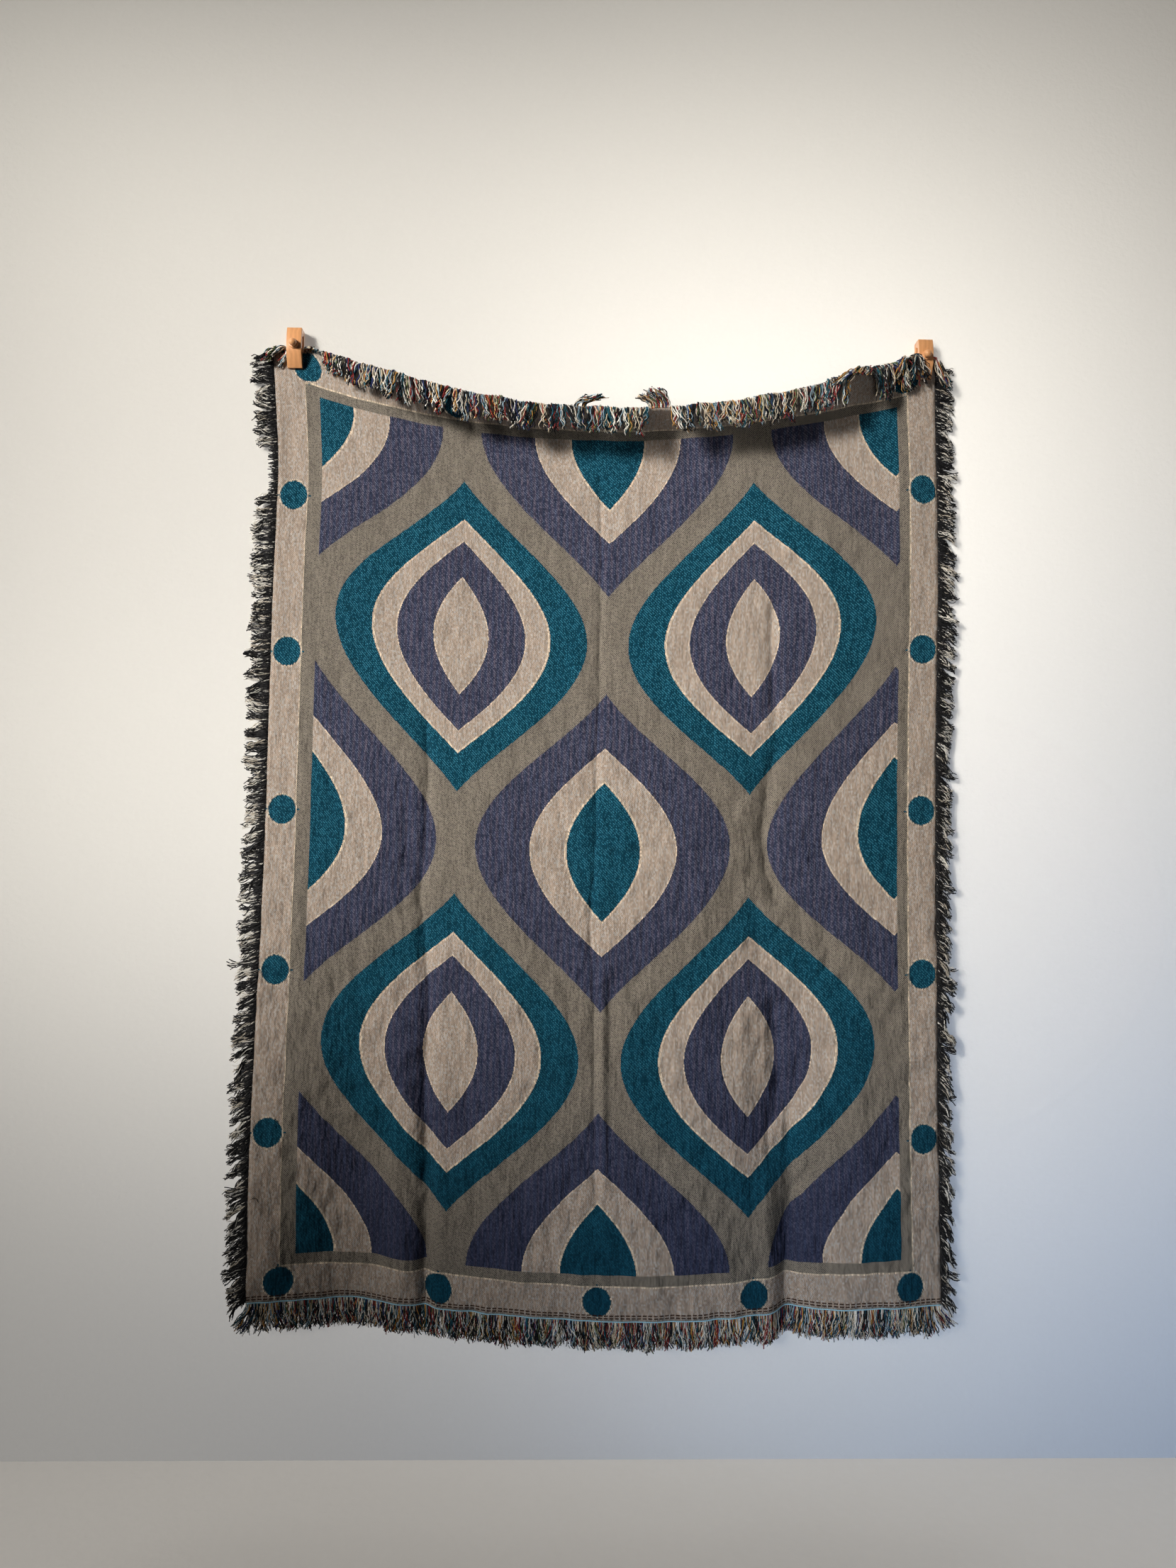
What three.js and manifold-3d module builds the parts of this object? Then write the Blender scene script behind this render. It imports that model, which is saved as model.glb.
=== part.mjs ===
// A woven cotton blanket with a fringe on all four sides, hung by its top corners from two
// wooden wall clamps. Millimetres, +Z up, +X to the right, +Y into the wall. The wall is the
// plane y = 0, and the origin lies on it midway between the two clamps.
import * as THREE from 'three';
import { mergeVertices } from 'three/addons/utils/BufferGeometryUtils.js';
import Module from 'manifold-3d';

const wasm = await Module();
wasm.setup();

// Driving sizes
const clearance = 0.3;
const cloth = { thickness: 2, length: 1765 };
const clamp = { x: 598, width: 28, height: 73, plate: 8, chamfer: 1.2 };
const clampSides = [
  { name: 'left', x: -clamp.x, z: -3.5 },
  { name: 'right', x: clamp.x, z: 3.5 },
];
// The jaw's reach from the wall at its lip, at the knob and at its top, and its hollow behind.
const jaw = { lip: 17, bow: 31, top: 26, hollow: 21, heel: 9, heelSlope: 7, lipHeight: 14, land: 1 };
// How full the jaw's front curve is below and above the knob.
const jawCurve = { lowReach: 0.75, lowHeight: 0.4, highReach: 0.3, highHeight: 0.7, steps: 5 };
const knob = { z: 3.5, shank: 2.5, bore: 3, collar: 9, collarDepth: 3, rim: 0.6, ball: 7.2, neck: 4.2 };
const turnedSides = 16;
const weld = 1e-4;
const ballSteps = 7;
// The cloth lies flat where the clamps grip it, and eases into its hanging shape around them.
const grip = { depth: clamp.plate + clearance + cloth.thickness / 2, side: 4, down: 40, blend: 140 };

// Where the two side edges hang, by the distance down the cloth.
const sideEdges = [
  { down: 0, left: -641, right: 622 },
  { down: 130, left: -632, right: 623 },
  { down: 200, left: -628, right: 625 },
  { down: 400, left: -631, right: 628 },
  { down: 700, left: -634, right: 624 },
  { down: 950, left: -636, right: 623 },
  { down: 1200, left: -641, right: 625 },
  { down: 1500, left: -647, right: 629 },
  { down: 1765, left: -646.5, right: 635 },
];

// Between the clamps the top sags, and above the bend line it tips forward like an awning.
// The sag ends a little inside each clamp, and the powers say how it and the tip die out.
const bend = { line: 95, ramp: 45, steps: 12 };
const sag = {
  middleZ: -184,
  left: { z: -100.9, reachX: 570, power: 2.37 },
  right: { z: -93.9, reachX: 575, power: 1.72 },
};
const awning = { angle: 70, reachX: 579, leftPower: 2.2, rightPower: 4 };
const cornerDroop = { from: 612, width: 27, left: 8, right: 28, fade: 220 };

// The hem: its height at both ends, a sag in the middle, and how far it stands off the wall.
const hem = { leftZ: -1767, rightZ: -1773, sag: 28, sagX: 60, sagWidth: 400, depth: 40 };
const lineDepth = { clamp: grip.depth, middle: 27 };
const depthPower = 1.2;

// Soft folds running down the cloth. Each starts at `from`, is full at `full` and is gone at `to`.
// Its place and half width change from the first value to the second as it grows. Depth is forward
// of the sheet's mean surface, so a trough is negative.
const folds = [
  { name: 'belly', from: 250, full: 1765, to: Infinity, x: [0, 40], width: [420, 330], depth: 17 },
  { name: 'left corner', from: 800, full: 1765, to: Infinity, x: [-640, -655], width: [70, 115], depth: 13 },
  { name: 'left hem', from: 1000, full: 1765, to: Infinity, x: [-430, -474], width: [60, 92], depth: -32 },
  { name: 'left trough', from: 500, full: 1300, to: Infinity, x: [-350, -338], width: [55, 80], depth: -8 },
  { name: 'right trough', from: 220, full: 1765, to: Infinity, x: [285, 349], width: [150, 80], depth: -22 },
  { name: 'right valley', from: 1150, full: 1765, to: Infinity, x: [330, 351], width: [24, 26], depth: -13 },
  { name: 'right corner', from: 900, full: 1765, to: Infinity, x: [640, 645], width: [80, 120], depth: 8 },
  { name: 'left clamp pull', from: 30, full: 130, to: 620, x: [-585, -570], width: [14, 30], depth: -5 },
  { name: 'right clamp pull', from: 30, full: 150, to: 560, x: [590, 575], width: [14, 32], depth: 5 },
];

// Columns of the sheet by their place along the top edge, and rows by the distance down.
const columnSpans = [
  { to: -616, count: 2 },
  { to: -580, count: 2 },
  { to: -280, count: 10 },
  { to: 255, count: 11 },
  { to: 400, count: 8 },
  { to: 580, count: 5 },
  { to: 616, count: 2 },
  { to: 622, count: 1 },
];
const rowSpans = [
  { to: 40, count: 4 },
  { to: 95, count: 4 },
  { to: 400, count: 6 },
  { to: 1765, count: 18 },
];

// Fringe: a narrow root strip along each edge with tapered locks of yarn standing off it.
const strip = { gap: 0.4, width: 2.5, thickness: 2, spacing: 5 };
const lock = { fill: 0.88, tipFill: 0.8, thickness: 3.4, tipThickness: 1.6, wobble: 0.22 };
const fringes = {
  top: { locks: 52, length: 58, spread: 0.16 },
  bottom: { locks: 52, length: 45, spread: 0.1 },
  left: { locks: 68, length: 40, spread: 0.12 },
  right: { locks: 68, length: 38, spread: 0.12 },
};
// A top lock leaves its edge, turns over and hangs. Angles are above level, in degrees.
const topFall = { leave: 7, leaveShare: 0.45, turn: 9, turnAngle: -48, hangAngle: -86, sway: 3 };
const tuft = { spread: 0.2, straighten: 10, curl: 18 };
const bottomSway = { root: 0.05, tip: 0.1 };
// A side or bottom lock bends once, this far along it. Side locks steepen from root to tip.
const lockBend = 0.45;
const sideSteepen = { root: 0.7, tip: 1.25, spread: 5 };

// Stretches of the top edge, by X, where the yarns stand up or are missing in front.
const topStretches = [
  { from: -642, to: -626, lift: 65, length: 34 },
  { from: -626, to: -570, lift: 0, length: 0 },
  { from: -570, to: -515, lift: 70, length: 12 },
  { from: -508, to: -470, lift: 58, length: 26 },
  { from: -64, to: -38, lift: 38, length: 30 },
  { from: 58, to: 98, lift: 52, length: 34 },
  { from: 100, to: 122, lift: 0, length: 0 },
  { from: 436, to: 486, lift: 0, length: 0 },
  { from: 570, to: 626, lift: 0, length: 0 },
];
// On the left edge one stretch is tucked behind the cloth.
const leftTuck = { from: 176, to: 268 };
// How far the side locks hang below level, in degrees, by the distance down the cloth.
const sideDroop = [
  { down: 0, left: 6, right: 22 },
  { down: 600, left: 8, right: 34 },
  { down: 1200, left: 22, right: 46 },
  { down: 1765, left: 38, right: 54 },
];

const { degToRad, clamp: limit, lerp, smoothstep } = THREE.MathUtils;
const bell = (u) => Math.exp(-u * u);
// A repeatable unevenness between -1 and 1.
const uneven = (n) => Math.sin(n * 12.9898 + Math.sin(n * 4.1) * 3.7);

// Reads one column of a table smoothly between its rows.
function tableCurve(table, column) {
  const downs = table.map((row) => row.down);
  const values = table.map((row) => row[column]);
  const curve = new THREE.CubicInterpolant(downs, values, 1);
  return (down) => curve.evaluate(limit(down, 0, cloth.length))[0];
}

const leftEdge = tableCurve(sideEdges, 'left');
const rightEdge = tableCurve(sideEdges, 'right');
const droopOf = { left: tableCurve(sideDroop, 'left'), right: tableCurve(sideDroop, 'right') };
const topLeft = leftEdge(0);
const topRight = rightEdge(0);
const shareOf = (topX) => (topX - topLeft) / (topRight - topLeft);

function foldDepth(x, down) {
  let depth = 0;
  for (const fold of folds) {
    const grow = smoothstep(down, fold.from, fold.full) * (1 - smoothstep(down, fold.full, fold.to));
    const run = limit((down - fold.from) / (fold.full - fold.from), 0, 1);
    const centre = lerp(...fold.x, run);
    const width = lerp(...fold.width, run);
    depth += fold.depth * grow * bell((x - centre) / width);
  }
  return depth;
}

// Distance in front of the wall, below the bend line.
function sheetDepth(x, down) {
  const across = limit(Math.abs(x) / clamp.x, 0, 1);
  const upper = lerp(lineDepth.middle, lineDepth.clamp, across * across);
  const run = limit((down - bend.line) / (cloth.length - bend.line), 0, 1);
  return lerp(upper, hem.depth, run ** depthPower) + foldDepth(x, down);
}

// Height of the sheet at the bend line and below it.
function sheetHeight(x, down) {
  const end = x < 0 ? sag.left : sag.right;
  const lineZ = lerp(sag.middleZ, end.z, limit(Math.abs(x) / end.reachX, 0, 1) ** end.power);
  const level = lerp(hem.leftZ, hem.rightZ, limit((x - topLeft) / (topRight - topLeft), 0, 1));
  const hemZ = level - hem.sag * bell((x - hem.sagX) / hem.sagWidth);
  return lerp(lineZ, hemZ, (down - bend.line) / (cloth.length - bend.line));
}

function awningAngle(x) {
  const across = limit(Math.abs(x) / awning.reachX, 0, 1);
  const power = x < 0 ? awning.leftPower : awning.rightPower;
  return degToRad(awning.angle) * (1 - across ** power);
}

// The cloth outside each clamp hangs down from it.
function droopAt(x, down) {
  const past = Math.max(Math.abs(x) - cornerDroop.from, 0) / cornerDroop.width;
  return (x < 0 ? cornerDroop.left : cornerDroop.right) * past * Math.exp(-down / cornerDroop.fade);
}

// 0 where a clamp holds the cloth flat, 1 where it hangs free.
function freedom(x, down) {
  const aside = Math.max(Math.abs(Math.abs(x) - clamp.x) - clamp.width / 2 - grip.side, 0);
  const below = Math.max(down - grip.down, 0);
  return smoothstep(Math.hypot(aside, below), 0, grip.blend);
}

// Middle surface of the cloth: `share` runs from the left edge to the right, `down` from the top.
function sheetPoint(share, down) {
  const x = lerp(leftEdge(down), rightEdge(down), share);
  const lower = Math.max(down, bend.line);
  let depth = sheetDepth(x, lower);
  let z = sheetHeight(x, lower);
  const rise = (lower - down) / bend.steps;
  for (let step = 0; step < bend.steps; step += 1) {
    const angle = awningAngle(x) * smoothstep((step + 0.5) * rise, 0, bend.ramp);
    depth += rise * Math.sin(angle);
    z += rise * Math.cos(angle);
  }
  depth = lerp(grip.depth, depth, freedom(x, down));
  return new THREE.Vector3(x, -depth, z - droopAt(x, down));
}

// Directions on the sheet: to the right, down along the cloth, and out of its front.
function sheetFrame(share, down) {
  const shareStep = 0.002;
  const downStep = 2;
  const right = sheetPoint(Math.min(share + shareStep, 1), down);
  right.sub(sheetPoint(Math.max(share - shareStep, 0), down)).normalize();
  const below = sheetPoint(share, Math.min(down + downStep, cloth.length));
  below.sub(sheetPoint(share, Math.max(down - downStep, 0))).normalize();
  const front = new THREE.Vector3().crossVectors(below, right).normalize();
  return { point: sheetPoint(share, down), right, below, front };
}

function stops(start, spans) {
  const list = [start];
  for (const span of spans) {
    const from = list.at(-1);
    for (let step = 1; step <= span.count; step += 1) {
      list.push(lerp(from, span.to, step / span.count));
    }
  }
  return list;
}

// Collects points and four-cornered faces, each listed anticlockwise seen from outside.
class Builder {
  constructor() {
    this.points = [];
    this.faces = [];
  }

  add(point) {
    return this.points.push(point.x, point.y, point.z) / 3 - 1;
  }

  quad(a, b, c, d) {
    this.faces.push(a, b, c, a, c, d);
  }

  geometry() {
    const result = new THREE.BufferGeometry();
    result.setAttribute('position', new THREE.Float32BufferAttribute(this.points, 3));
    result.setIndex(this.faces);
    result.computeVertexNormals();
    return result;
  }
}

// The woven cloth as a thin closed sheet.
function clothGeometry() {
  const builder = new Builder();
  const shares = stops(topLeft, columnSpans).map(shareOf);
  const downs = stops(0, rowSpans);
  const half = cloth.thickness / 2;
  const front = [];
  const back = [];
  for (const down of downs) {
    const frames = shares.map((share) => sheetFrame(share, down));
    front.push(frames.map((f) => builder.add(f.point.clone().addScaledVector(f.front, half))));
    back.push(frames.map((f) => builder.add(f.point.clone().addScaledVector(f.front, -half))));
  }
  const lastRow = downs.length - 1;
  const lastColumn = shares.length - 1;
  for (let row = 0; row < lastRow; row += 1) {
    const [f, fBelow, k, kBelow] = [front[row], front[row + 1], back[row], back[row + 1]];
    for (let column = 0; column < lastColumn; column += 1) {
      const next = column + 1;
      builder.quad(fBelow[column], fBelow[next], f[next], f[column]);
      builder.quad(k[column], k[next], kBelow[next], kBelow[column]);
    }
    builder.quad(k[0], kBelow[0], fBelow[0], f[0]);
    builder.quad(f[lastColumn], fBelow[lastColumn], kBelow[lastColumn], k[lastColumn]);
  }
  for (let column = 0; column < lastColumn; column += 1) {
    const next = column + 1;
    builder.quad(front[0][column], front[0][next], back[0][next], back[0][column]);
    builder.quad(back[lastRow][column], back[lastRow][next], front[lastRow][next], front[lastRow][column]);
  }
  return builder.geometry();
}

// Each edge runs so that along x out points to the front of the cloth.
const edges = {
  top: (run) => {
    const f = sheetFrame(run, 0);
    return { ...f, along: f.right, out: f.below.clone().negate() };
  },
  bottom: (run) => {
    const f = sheetFrame(1 - run, cloth.length);
    return { ...f, along: f.right.clone().negate(), out: f.below };
  },
  left: (run) => {
    const f = sheetFrame(0, cloth.length * (1 - run));
    return { ...f, along: f.below.clone().negate(), out: f.right.clone().negate() };
  },
  right: (run) => {
    const f = sheetFrame(1, cloth.length * run);
    return { ...f, along: f.below, out: f.right };
  },
};

// How one lock leaves its edge: a list of steps, each with a length and a direction.
const lockSteps = {
  top: (frame, index) => {
    const stretch = topStretches.find((row) => frame.point.x > row.from && frame.point.x < row.to);
    const forward = new THREE.Vector3(0, 0, 1).cross(frame.along).normalize().negate();
    const upward = new THREE.Vector3().crossVectors(frame.along, forward).negate();
    const tilt = (angle) => forward.clone().multiplyScalar(Math.cos(degToRad(angle)))
      .addScaledVector(upward, Math.sin(degToRad(angle)));
    const leave = THREE.MathUtils.radToDeg(Math.asin(limit(frame.out.dot(upward), -1, 1)));
    if (stretch) {
      const half = (stretch.length / 2) * (1 + tuft.spread * uneven(index));
      return half === 0 ? [] : [
        { length: half, direction: tilt(Math.min(leave, stretch.lift + tuft.straighten)) },
        { length: half, direction: tilt(stretch.lift - tuft.curl) },
      ];
    }
    return [
      { length: topFall.leave, direction: tilt(leave * topFall.leaveShare) },
      { length: topFall.turn, direction: tilt(topFall.turnAngle) },
      {
        length: lockLength('top', index) - topFall.leave - topFall.turn,
        direction: tilt(topFall.hangAngle + topFall.sway * uneven(index + 5)),
      },
    ];
  },
  bottom: (frame, index) => {
    const length = lockLength('bottom', index);
    const sway = uneven(index + 3);
    const root = frame.out.clone().addScaledVector(frame.along, bottomSway.root * sway);
    const tip = new THREE.Vector3(0, 0, -1).addScaledVector(frame.along, bottomSway.tip * sway);
    return [
      { length: length * lockBend, direction: root.normalize() },
      { length: length * (1 - lockBend), direction: tip.normalize() },
    ];
  },
  left: (frame, index, down) => {
    const tucked = down > leftTuck.from && down < leftTuck.to;
    return tucked ? [] : sideLock('left', index, down);
  },
  right: (frame, index, down) => sideLock('right', index, down),
};

function lockLength(side, index) {
  return fringes[side].length * (1 + fringes[side].spread * uneven(index));
}

function sideLock(side, index, down) {
  const length = lockLength(side, index);
  const droop = degToRad(droopOf[side](down) + sideSteepen.spread * uneven(index * 0.37 + 1));
  const outX = side === 'left' ? -1 : 1;
  const aim = (angle) => new THREE.Vector3(outX * Math.cos(angle), 0, -Math.sin(angle));
  return [
    { length: length * lockBend, direction: aim(droop * sideSteepen.root) },
    { length: length * (1 - lockBend), direction: aim(droop * sideSteepen.tip) },
  ];
}

// A root strip along one edge with its locks, as one closed body.
function fringeGeometry(side) {
  const builder = new Builder();
  const edge = edges[side];
  const { locks } = fringes[side];
  const half = strip.thickness / 2;
  const downAt = (run) => cloth.length * (side === 'left' ? 1 - run : run);

  function station(run) {
    const f = edge(run);
    const inner = f.point.clone().addScaledVector(f.out, strip.gap);
    const outer = inner.clone().addScaledVector(f.out, strip.width);
    const put = (point, offset) => builder.add(point.clone().addScaledVector(f.front, offset));
    return {
      innerFront: put(inner, half),
      innerBack: put(inner, -half),
      outerBack: put(outer, -half),
      outerFront: put(outer, half),
    };
  }

  function stripSpan(a, b, closed) {
    builder.quad(a.innerFront, b.innerFront, b.outerFront, a.outerFront);
    builder.quad(a.innerBack, a.outerBack, b.outerBack, b.innerBack);
    builder.quad(a.innerBack, b.innerBack, b.innerFront, a.innerFront);
    if (closed) builder.quad(a.outerFront, b.outerFront, b.outerBack, a.outerBack);
  }

  // A stretch with no lock follows the edge in short steps.
  function bareStretch(start, from, to) {
    const count = Math.ceil(edge(to).point.distanceTo(edge(from).point) / strip.spacing);
    let last = start;
    for (let step = 1; step <= count; step += 1) {
      const next = station(lerp(from, to, step / count));
      stripSpan(last, next, true);
      last = next;
    }
    return last;
  }

  function lockTube(a, b, frame, steps, rootWidth) {
    let ring = [a.outerFront, b.outerFront, b.outerBack, a.outerBack];
    const centre = frame.point.clone().addScaledVector(frame.out, strip.gap + strip.width);
    steps.forEach((step, order) => {
      centre.addScaledVector(step.direction, step.length);
      const run = (order + 1) / steps.length;
      const lean = step.direction.dot(frame.along);
      const across = frame.along.clone().addScaledVector(step.direction, -lean).normalize();
      const facing = new THREE.Vector3().crossVectors(across, step.direction).normalize();
      const narrow = Math.sqrt(Math.max(1 - lean * lean, 0));
      const halfWidth = (rootWidth * narrow * lerp(1, lock.tipFill, run)) / 2;
      const halfDepth = lerp(lock.thickness, lock.tipThickness, run) / 2;
      const corner = (w, d) => builder.add(
        centre.clone().addScaledVector(across, w * halfWidth).addScaledVector(facing, d * halfDepth),
      );
      const next = [corner(-1, 1), corner(1, 1), corner(1, -1), corner(-1, -1)];
      ring.forEach((from, j) => {
        const k = (j + 1) % ring.length;
        builder.quad(from, ring[k], next[k], next[j]);
      });
      ring = next;
    });
    builder.quad(...ring);
  }

  const pitch = 1 / locks;
  const margin = (pitch * (1 - lock.fill)) / 2;
  let reached = 0;
  let last = station(reached);
  builder.quad(last.innerFront, last.outerFront, last.outerBack, last.innerBack);
  for (let index = 0; index < locks; index += 1) {
    const shift = margin * lock.wobble * uneven(index + 11);
    const from = index * pitch + margin + shift;
    const to = (index + 1) * pitch - margin + shift;
    const frame = edge((from + to) / 2);
    const steps = lockSteps[side](frame, index, downAt((from + to) / 2));
    if (steps.length > 0) {
      const a = bareStretch(last, reached, from);
      const b = station(to);
      stripSpan(a, b, false);
      lockTube(a, b, frame, steps, edge(to).point.distanceTo(edge(from).point));
      last = b;
      reached = to;
    }
  }
  const end = bareStretch(last, reached, 1);
  builder.quad(end.innerFront, end.innerBack, end.outerBack, end.outerFront);
  return builder.geometry();
}

function toSolid(geometry) {
  const bare = geometry.clone();
  bare.deleteAttribute('normal');
  bare.deleteAttribute('uv');
  const merged = mergeVertices(bare, weld);
  return new wasm.Manifold(new wasm.Mesh({
    numProp: 3,
    vertProperties: merged.attributes.position.array,
    triVerts: new Uint32Array(merged.index.array),
  }));
}

function fromSolid(solid) {
  const mesh = solid.getMesh();
  const result = new THREE.BufferGeometry();
  result.setAttribute('position', new THREE.BufferAttribute(new Float32Array(mesh.vertProperties), 3));
  result.setIndex(new THREE.BufferAttribute(new Uint32Array(mesh.triVerts), 1));
  result.computeVertexNormals();
  return result;
}

const chamfered = {
  steps: 1,
  bevelEnabled: true,
  bevelSegments: 1,
  bevelThickness: clamp.chamfer,
  bevelSize: clamp.chamfer,
  bevelOffset: -clamp.chamfer,
};

// The flat plate behind the cloth, standing on the wall.
function plateGeometry() {
  const outline = new THREE.Shape();
  outline.moveTo(-clamp.width / 2, -clamp.height / 2);
  outline.lineTo(clamp.width / 2, -clamp.height / 2);
  outline.lineTo(clamp.width / 2, clamp.height / 2);
  outline.lineTo(-clamp.width / 2, clamp.height / 2);
  const plate = new THREE.ExtrudeGeometry(outline, { ...chamfered, depth: clamp.plate - 2 * clamp.chamfer });
  plate.translate(0, 0, clamp.chamfer);
  plate.rotateX(Math.PI / 2);
  return plate;
}

// The bowed front jaw: its heel bears on the plate at the top and its lip grips the cloth below.
function jawGeometry() {
  const end = clamp.height / 2;
  const seat = clamp.plate + clearance;
  const lip = grip.depth + cloth.thickness / 2 + clearance;
  const flat = knob.collar + jaw.land;
  const section = new THREE.Shape();
  section.moveTo(lip, -end);
  section.lineTo(jaw.lip, -end);
  const low = [lerp(jaw.lip, jaw.bow, jawCurve.lowReach), lerp(-end, knob.z, jawCurve.lowHeight)];
  section.quadraticCurveTo(...low, jaw.bow, knob.z - flat);
  section.lineTo(jaw.bow, knob.z + flat);
  const high = [lerp(jaw.bow, jaw.top, jawCurve.highReach), lerp(knob.z, end, jawCurve.highHeight)];
  section.quadraticCurveTo(...high, jaw.top, end);
  section.lineTo(seat, end);
  section.lineTo(seat, end - jaw.heel);
  section.lineTo(jaw.hollow, end - jaw.heel - jaw.heelSlope);
  section.lineTo(jaw.hollow, knob.z - flat);
  section.lineTo(lip, -end + jaw.lipHeight);
  const profile = new THREE.ExtrudeGeometry(section, {
    ...chamfered,
    curveSegments: jawCurve.steps,
    depth: clamp.width - 2 * clamp.chamfer,
  });
  profile.translate(0, 0, clamp.chamfer - clamp.width / 2);
  // Section depth goes to -Y, section height to +Z and the sweep to X.
  profile.applyMatrix4(new THREE.Matrix4().makeBasis(
    new THREE.Vector3(0, -1, 0),
    new THREE.Vector3(0, 0, 1),
    new THREE.Vector3(-1, 0, 0),
  ));
  const bore = new THREE.CylinderGeometry(knob.bore, knob.bore, jaw.bow * 2, turnedSides);
  bore.translate(0, -jaw.bow, knob.z);
  return fromSolid(toSolid(profile).subtract(toSolid(bore)));
}

// The turned ball knob with its collar and the screw that draws the jaw in.
function knobGeometry() {
  const collarEnd = jaw.bow + clearance + knob.collarDepth;
  const ballCentre = collarEnd + Math.sqrt(knob.ball ** 2 - knob.neck ** 2);
  const ballStart = Math.asin(knob.neck / knob.ball);
  const profile = [
    new THREE.Vector2(0, clamp.plate + clearance),
    new THREE.Vector2(knob.shank, clamp.plate + clearance),
    new THREE.Vector2(knob.shank, jaw.bow + clearance),
    new THREE.Vector2(knob.collar, jaw.bow + clearance),
    new THREE.Vector2(knob.collar, collarEnd - knob.rim),
  ];
  for (let step = 0; step < ballSteps; step += 1) {
    const angle = lerp(ballStart, Math.PI, step / ballSteps);
    profile.push(new THREE.Vector2(knob.ball * Math.sin(angle), ballCentre - knob.ball * Math.cos(angle)));
  }
  profile.push(new THREE.Vector2(0, ballCentre + knob.ball));
  const turned = new THREE.LatheGeometry(profile, turnedSides);
  turned.rotateX(Math.PI);
  turned.translate(0, 0, knob.z);
  return turned;
}

const yarnCloth = { color: 0x66707a, roughness: 0.95, metalness: 0 };
const mixedYarn = { color: 0x6d675f, roughness: 0.95, metalness: 0 };
const darkYarn = { color: 0x4a4641, roughness: 0.95, metalness: 0 };
const clampWood = { color: 0xd99f6b, roughness: 0.5, metalness: 0 };

function piece(name, geometry, finish) {
  const mesh = new THREE.Mesh(geometry, new THREE.MeshStandardMaterial(finish));
  mesh.name = name;
  return mesh;
}

const part = new THREE.Group();
part.add(piece('blanket', clothGeometry(), yarnCloth));
for (const side of Object.keys(fringes)) {
  const yarn = side === 'top' || side === 'bottom' ? mixedYarn : darkYarn;
  part.add(piece(`fringe_${side}`, fringeGeometry(side), yarn));
}
for (const side of clampSides) {
  const holder = new THREE.Group();
  holder.position.set(side.x, 0, side.z);
  holder.add(piece(`clamp_${side.name}_plate`, plateGeometry(), clampWood));
  holder.add(piece(`clamp_${side.name}_jaw`, jawGeometry(), clampWood));
  holder.add(piece(`clamp_${side.name}_knob`, knobGeometry(), clampWood));
  part.add(holder);
}

export default part;
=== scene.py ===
import math
from functools import partialmethod

import bpy
import numpy as np
from mathutils import Matrix, Vector


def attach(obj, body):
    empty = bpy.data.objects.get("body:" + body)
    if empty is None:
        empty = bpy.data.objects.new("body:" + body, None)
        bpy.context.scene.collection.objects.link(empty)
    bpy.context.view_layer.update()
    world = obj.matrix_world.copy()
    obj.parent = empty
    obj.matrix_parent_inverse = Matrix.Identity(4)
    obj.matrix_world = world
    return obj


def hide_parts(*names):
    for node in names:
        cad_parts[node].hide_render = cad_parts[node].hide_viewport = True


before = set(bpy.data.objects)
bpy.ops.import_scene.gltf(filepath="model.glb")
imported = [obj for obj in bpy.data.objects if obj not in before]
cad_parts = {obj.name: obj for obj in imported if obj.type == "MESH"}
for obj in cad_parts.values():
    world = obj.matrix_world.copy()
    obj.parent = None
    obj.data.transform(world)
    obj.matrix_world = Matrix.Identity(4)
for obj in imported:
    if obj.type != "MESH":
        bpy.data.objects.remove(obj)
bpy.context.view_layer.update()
mm = 0.001
rng = np.random.default_rng(41)
up = np.array([0.0, 0.0, 1.0])
print("frame loaded,", len(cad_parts), "solids")


# the camera stands a little left of the middle and below it, and looks slightly up and to the right
photo = {
    "height": 2212, "focalPixels": 1661, "sensor": 36, "place": (-0.0997, -2.2295, -0.8765),
    "yaw": 1.665, "pitch": 1.534, "roll": 0.731,
}


def addCamera():
    data = bpy.data.cameras.new("camera")
    data.sensor_width = photo["sensor"]
    data.lens = photo["focalPixels"] / photo["height"] * photo["sensor"]
    camera = bpy.data.objects.new("camera", data)
    bpy.context.collection.objects.link(camera)
    turns = ((-photo["yaw"], "Z"), (90 + photo["pitch"], "X"), (photo["roll"], "Z"))
    place = Matrix.Translation(photo["place"])
    for turn, axis in turns:
        place = place @ Matrix.Rotation(math.radians(turn), 4, axis)
    camera.matrix_world = place
    bpy.context.scene.camera = camera


addCamera()
print("camera placed")


# how the cloth hangs, in millimetres and degrees; pairs are for the left half and the right half
hang = {
    "width": 1285, "length": 1765, "thickness": 2, "clampX": 598, "clampWidth": 28,
    "gripDepth": 9.3, "gripSide": 4, "gripDown": 40, "gripBlend": 140, "bendLine": 95,
    "bendRamp": 45, "bendSteps": 12, "sagMiddle": -184, "sagZ": (-100.9, -93.9),
    "sagReach": (570, 575), "sagPower": (2.37, 1.72), "awningAngle": 70, "awningReach": 579,
    "awningPower": (2.2, 4), "droopFrom": 612, "droopWidth": 27, "droop": (8, 28), "droopFade": 220,
    "middleDepth": 27, "hemDepth": 40, "depthPower": 1.2, "hemZ": (-1767, -1773), "hemSag": 28,
    "hemSagX": 60, "hemSagWidth": 400,
}

# distance down, left edge, right edge
sideEdges = [
    (0, -641, 622), (130, -632, 623), (200, -628, 625), (400, -631, 628), (700, -634, 624),
    (950, -636, 623), (1200, -641, 625), (1500, -647, 629), (1765, -646.5, 635),
]

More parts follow.
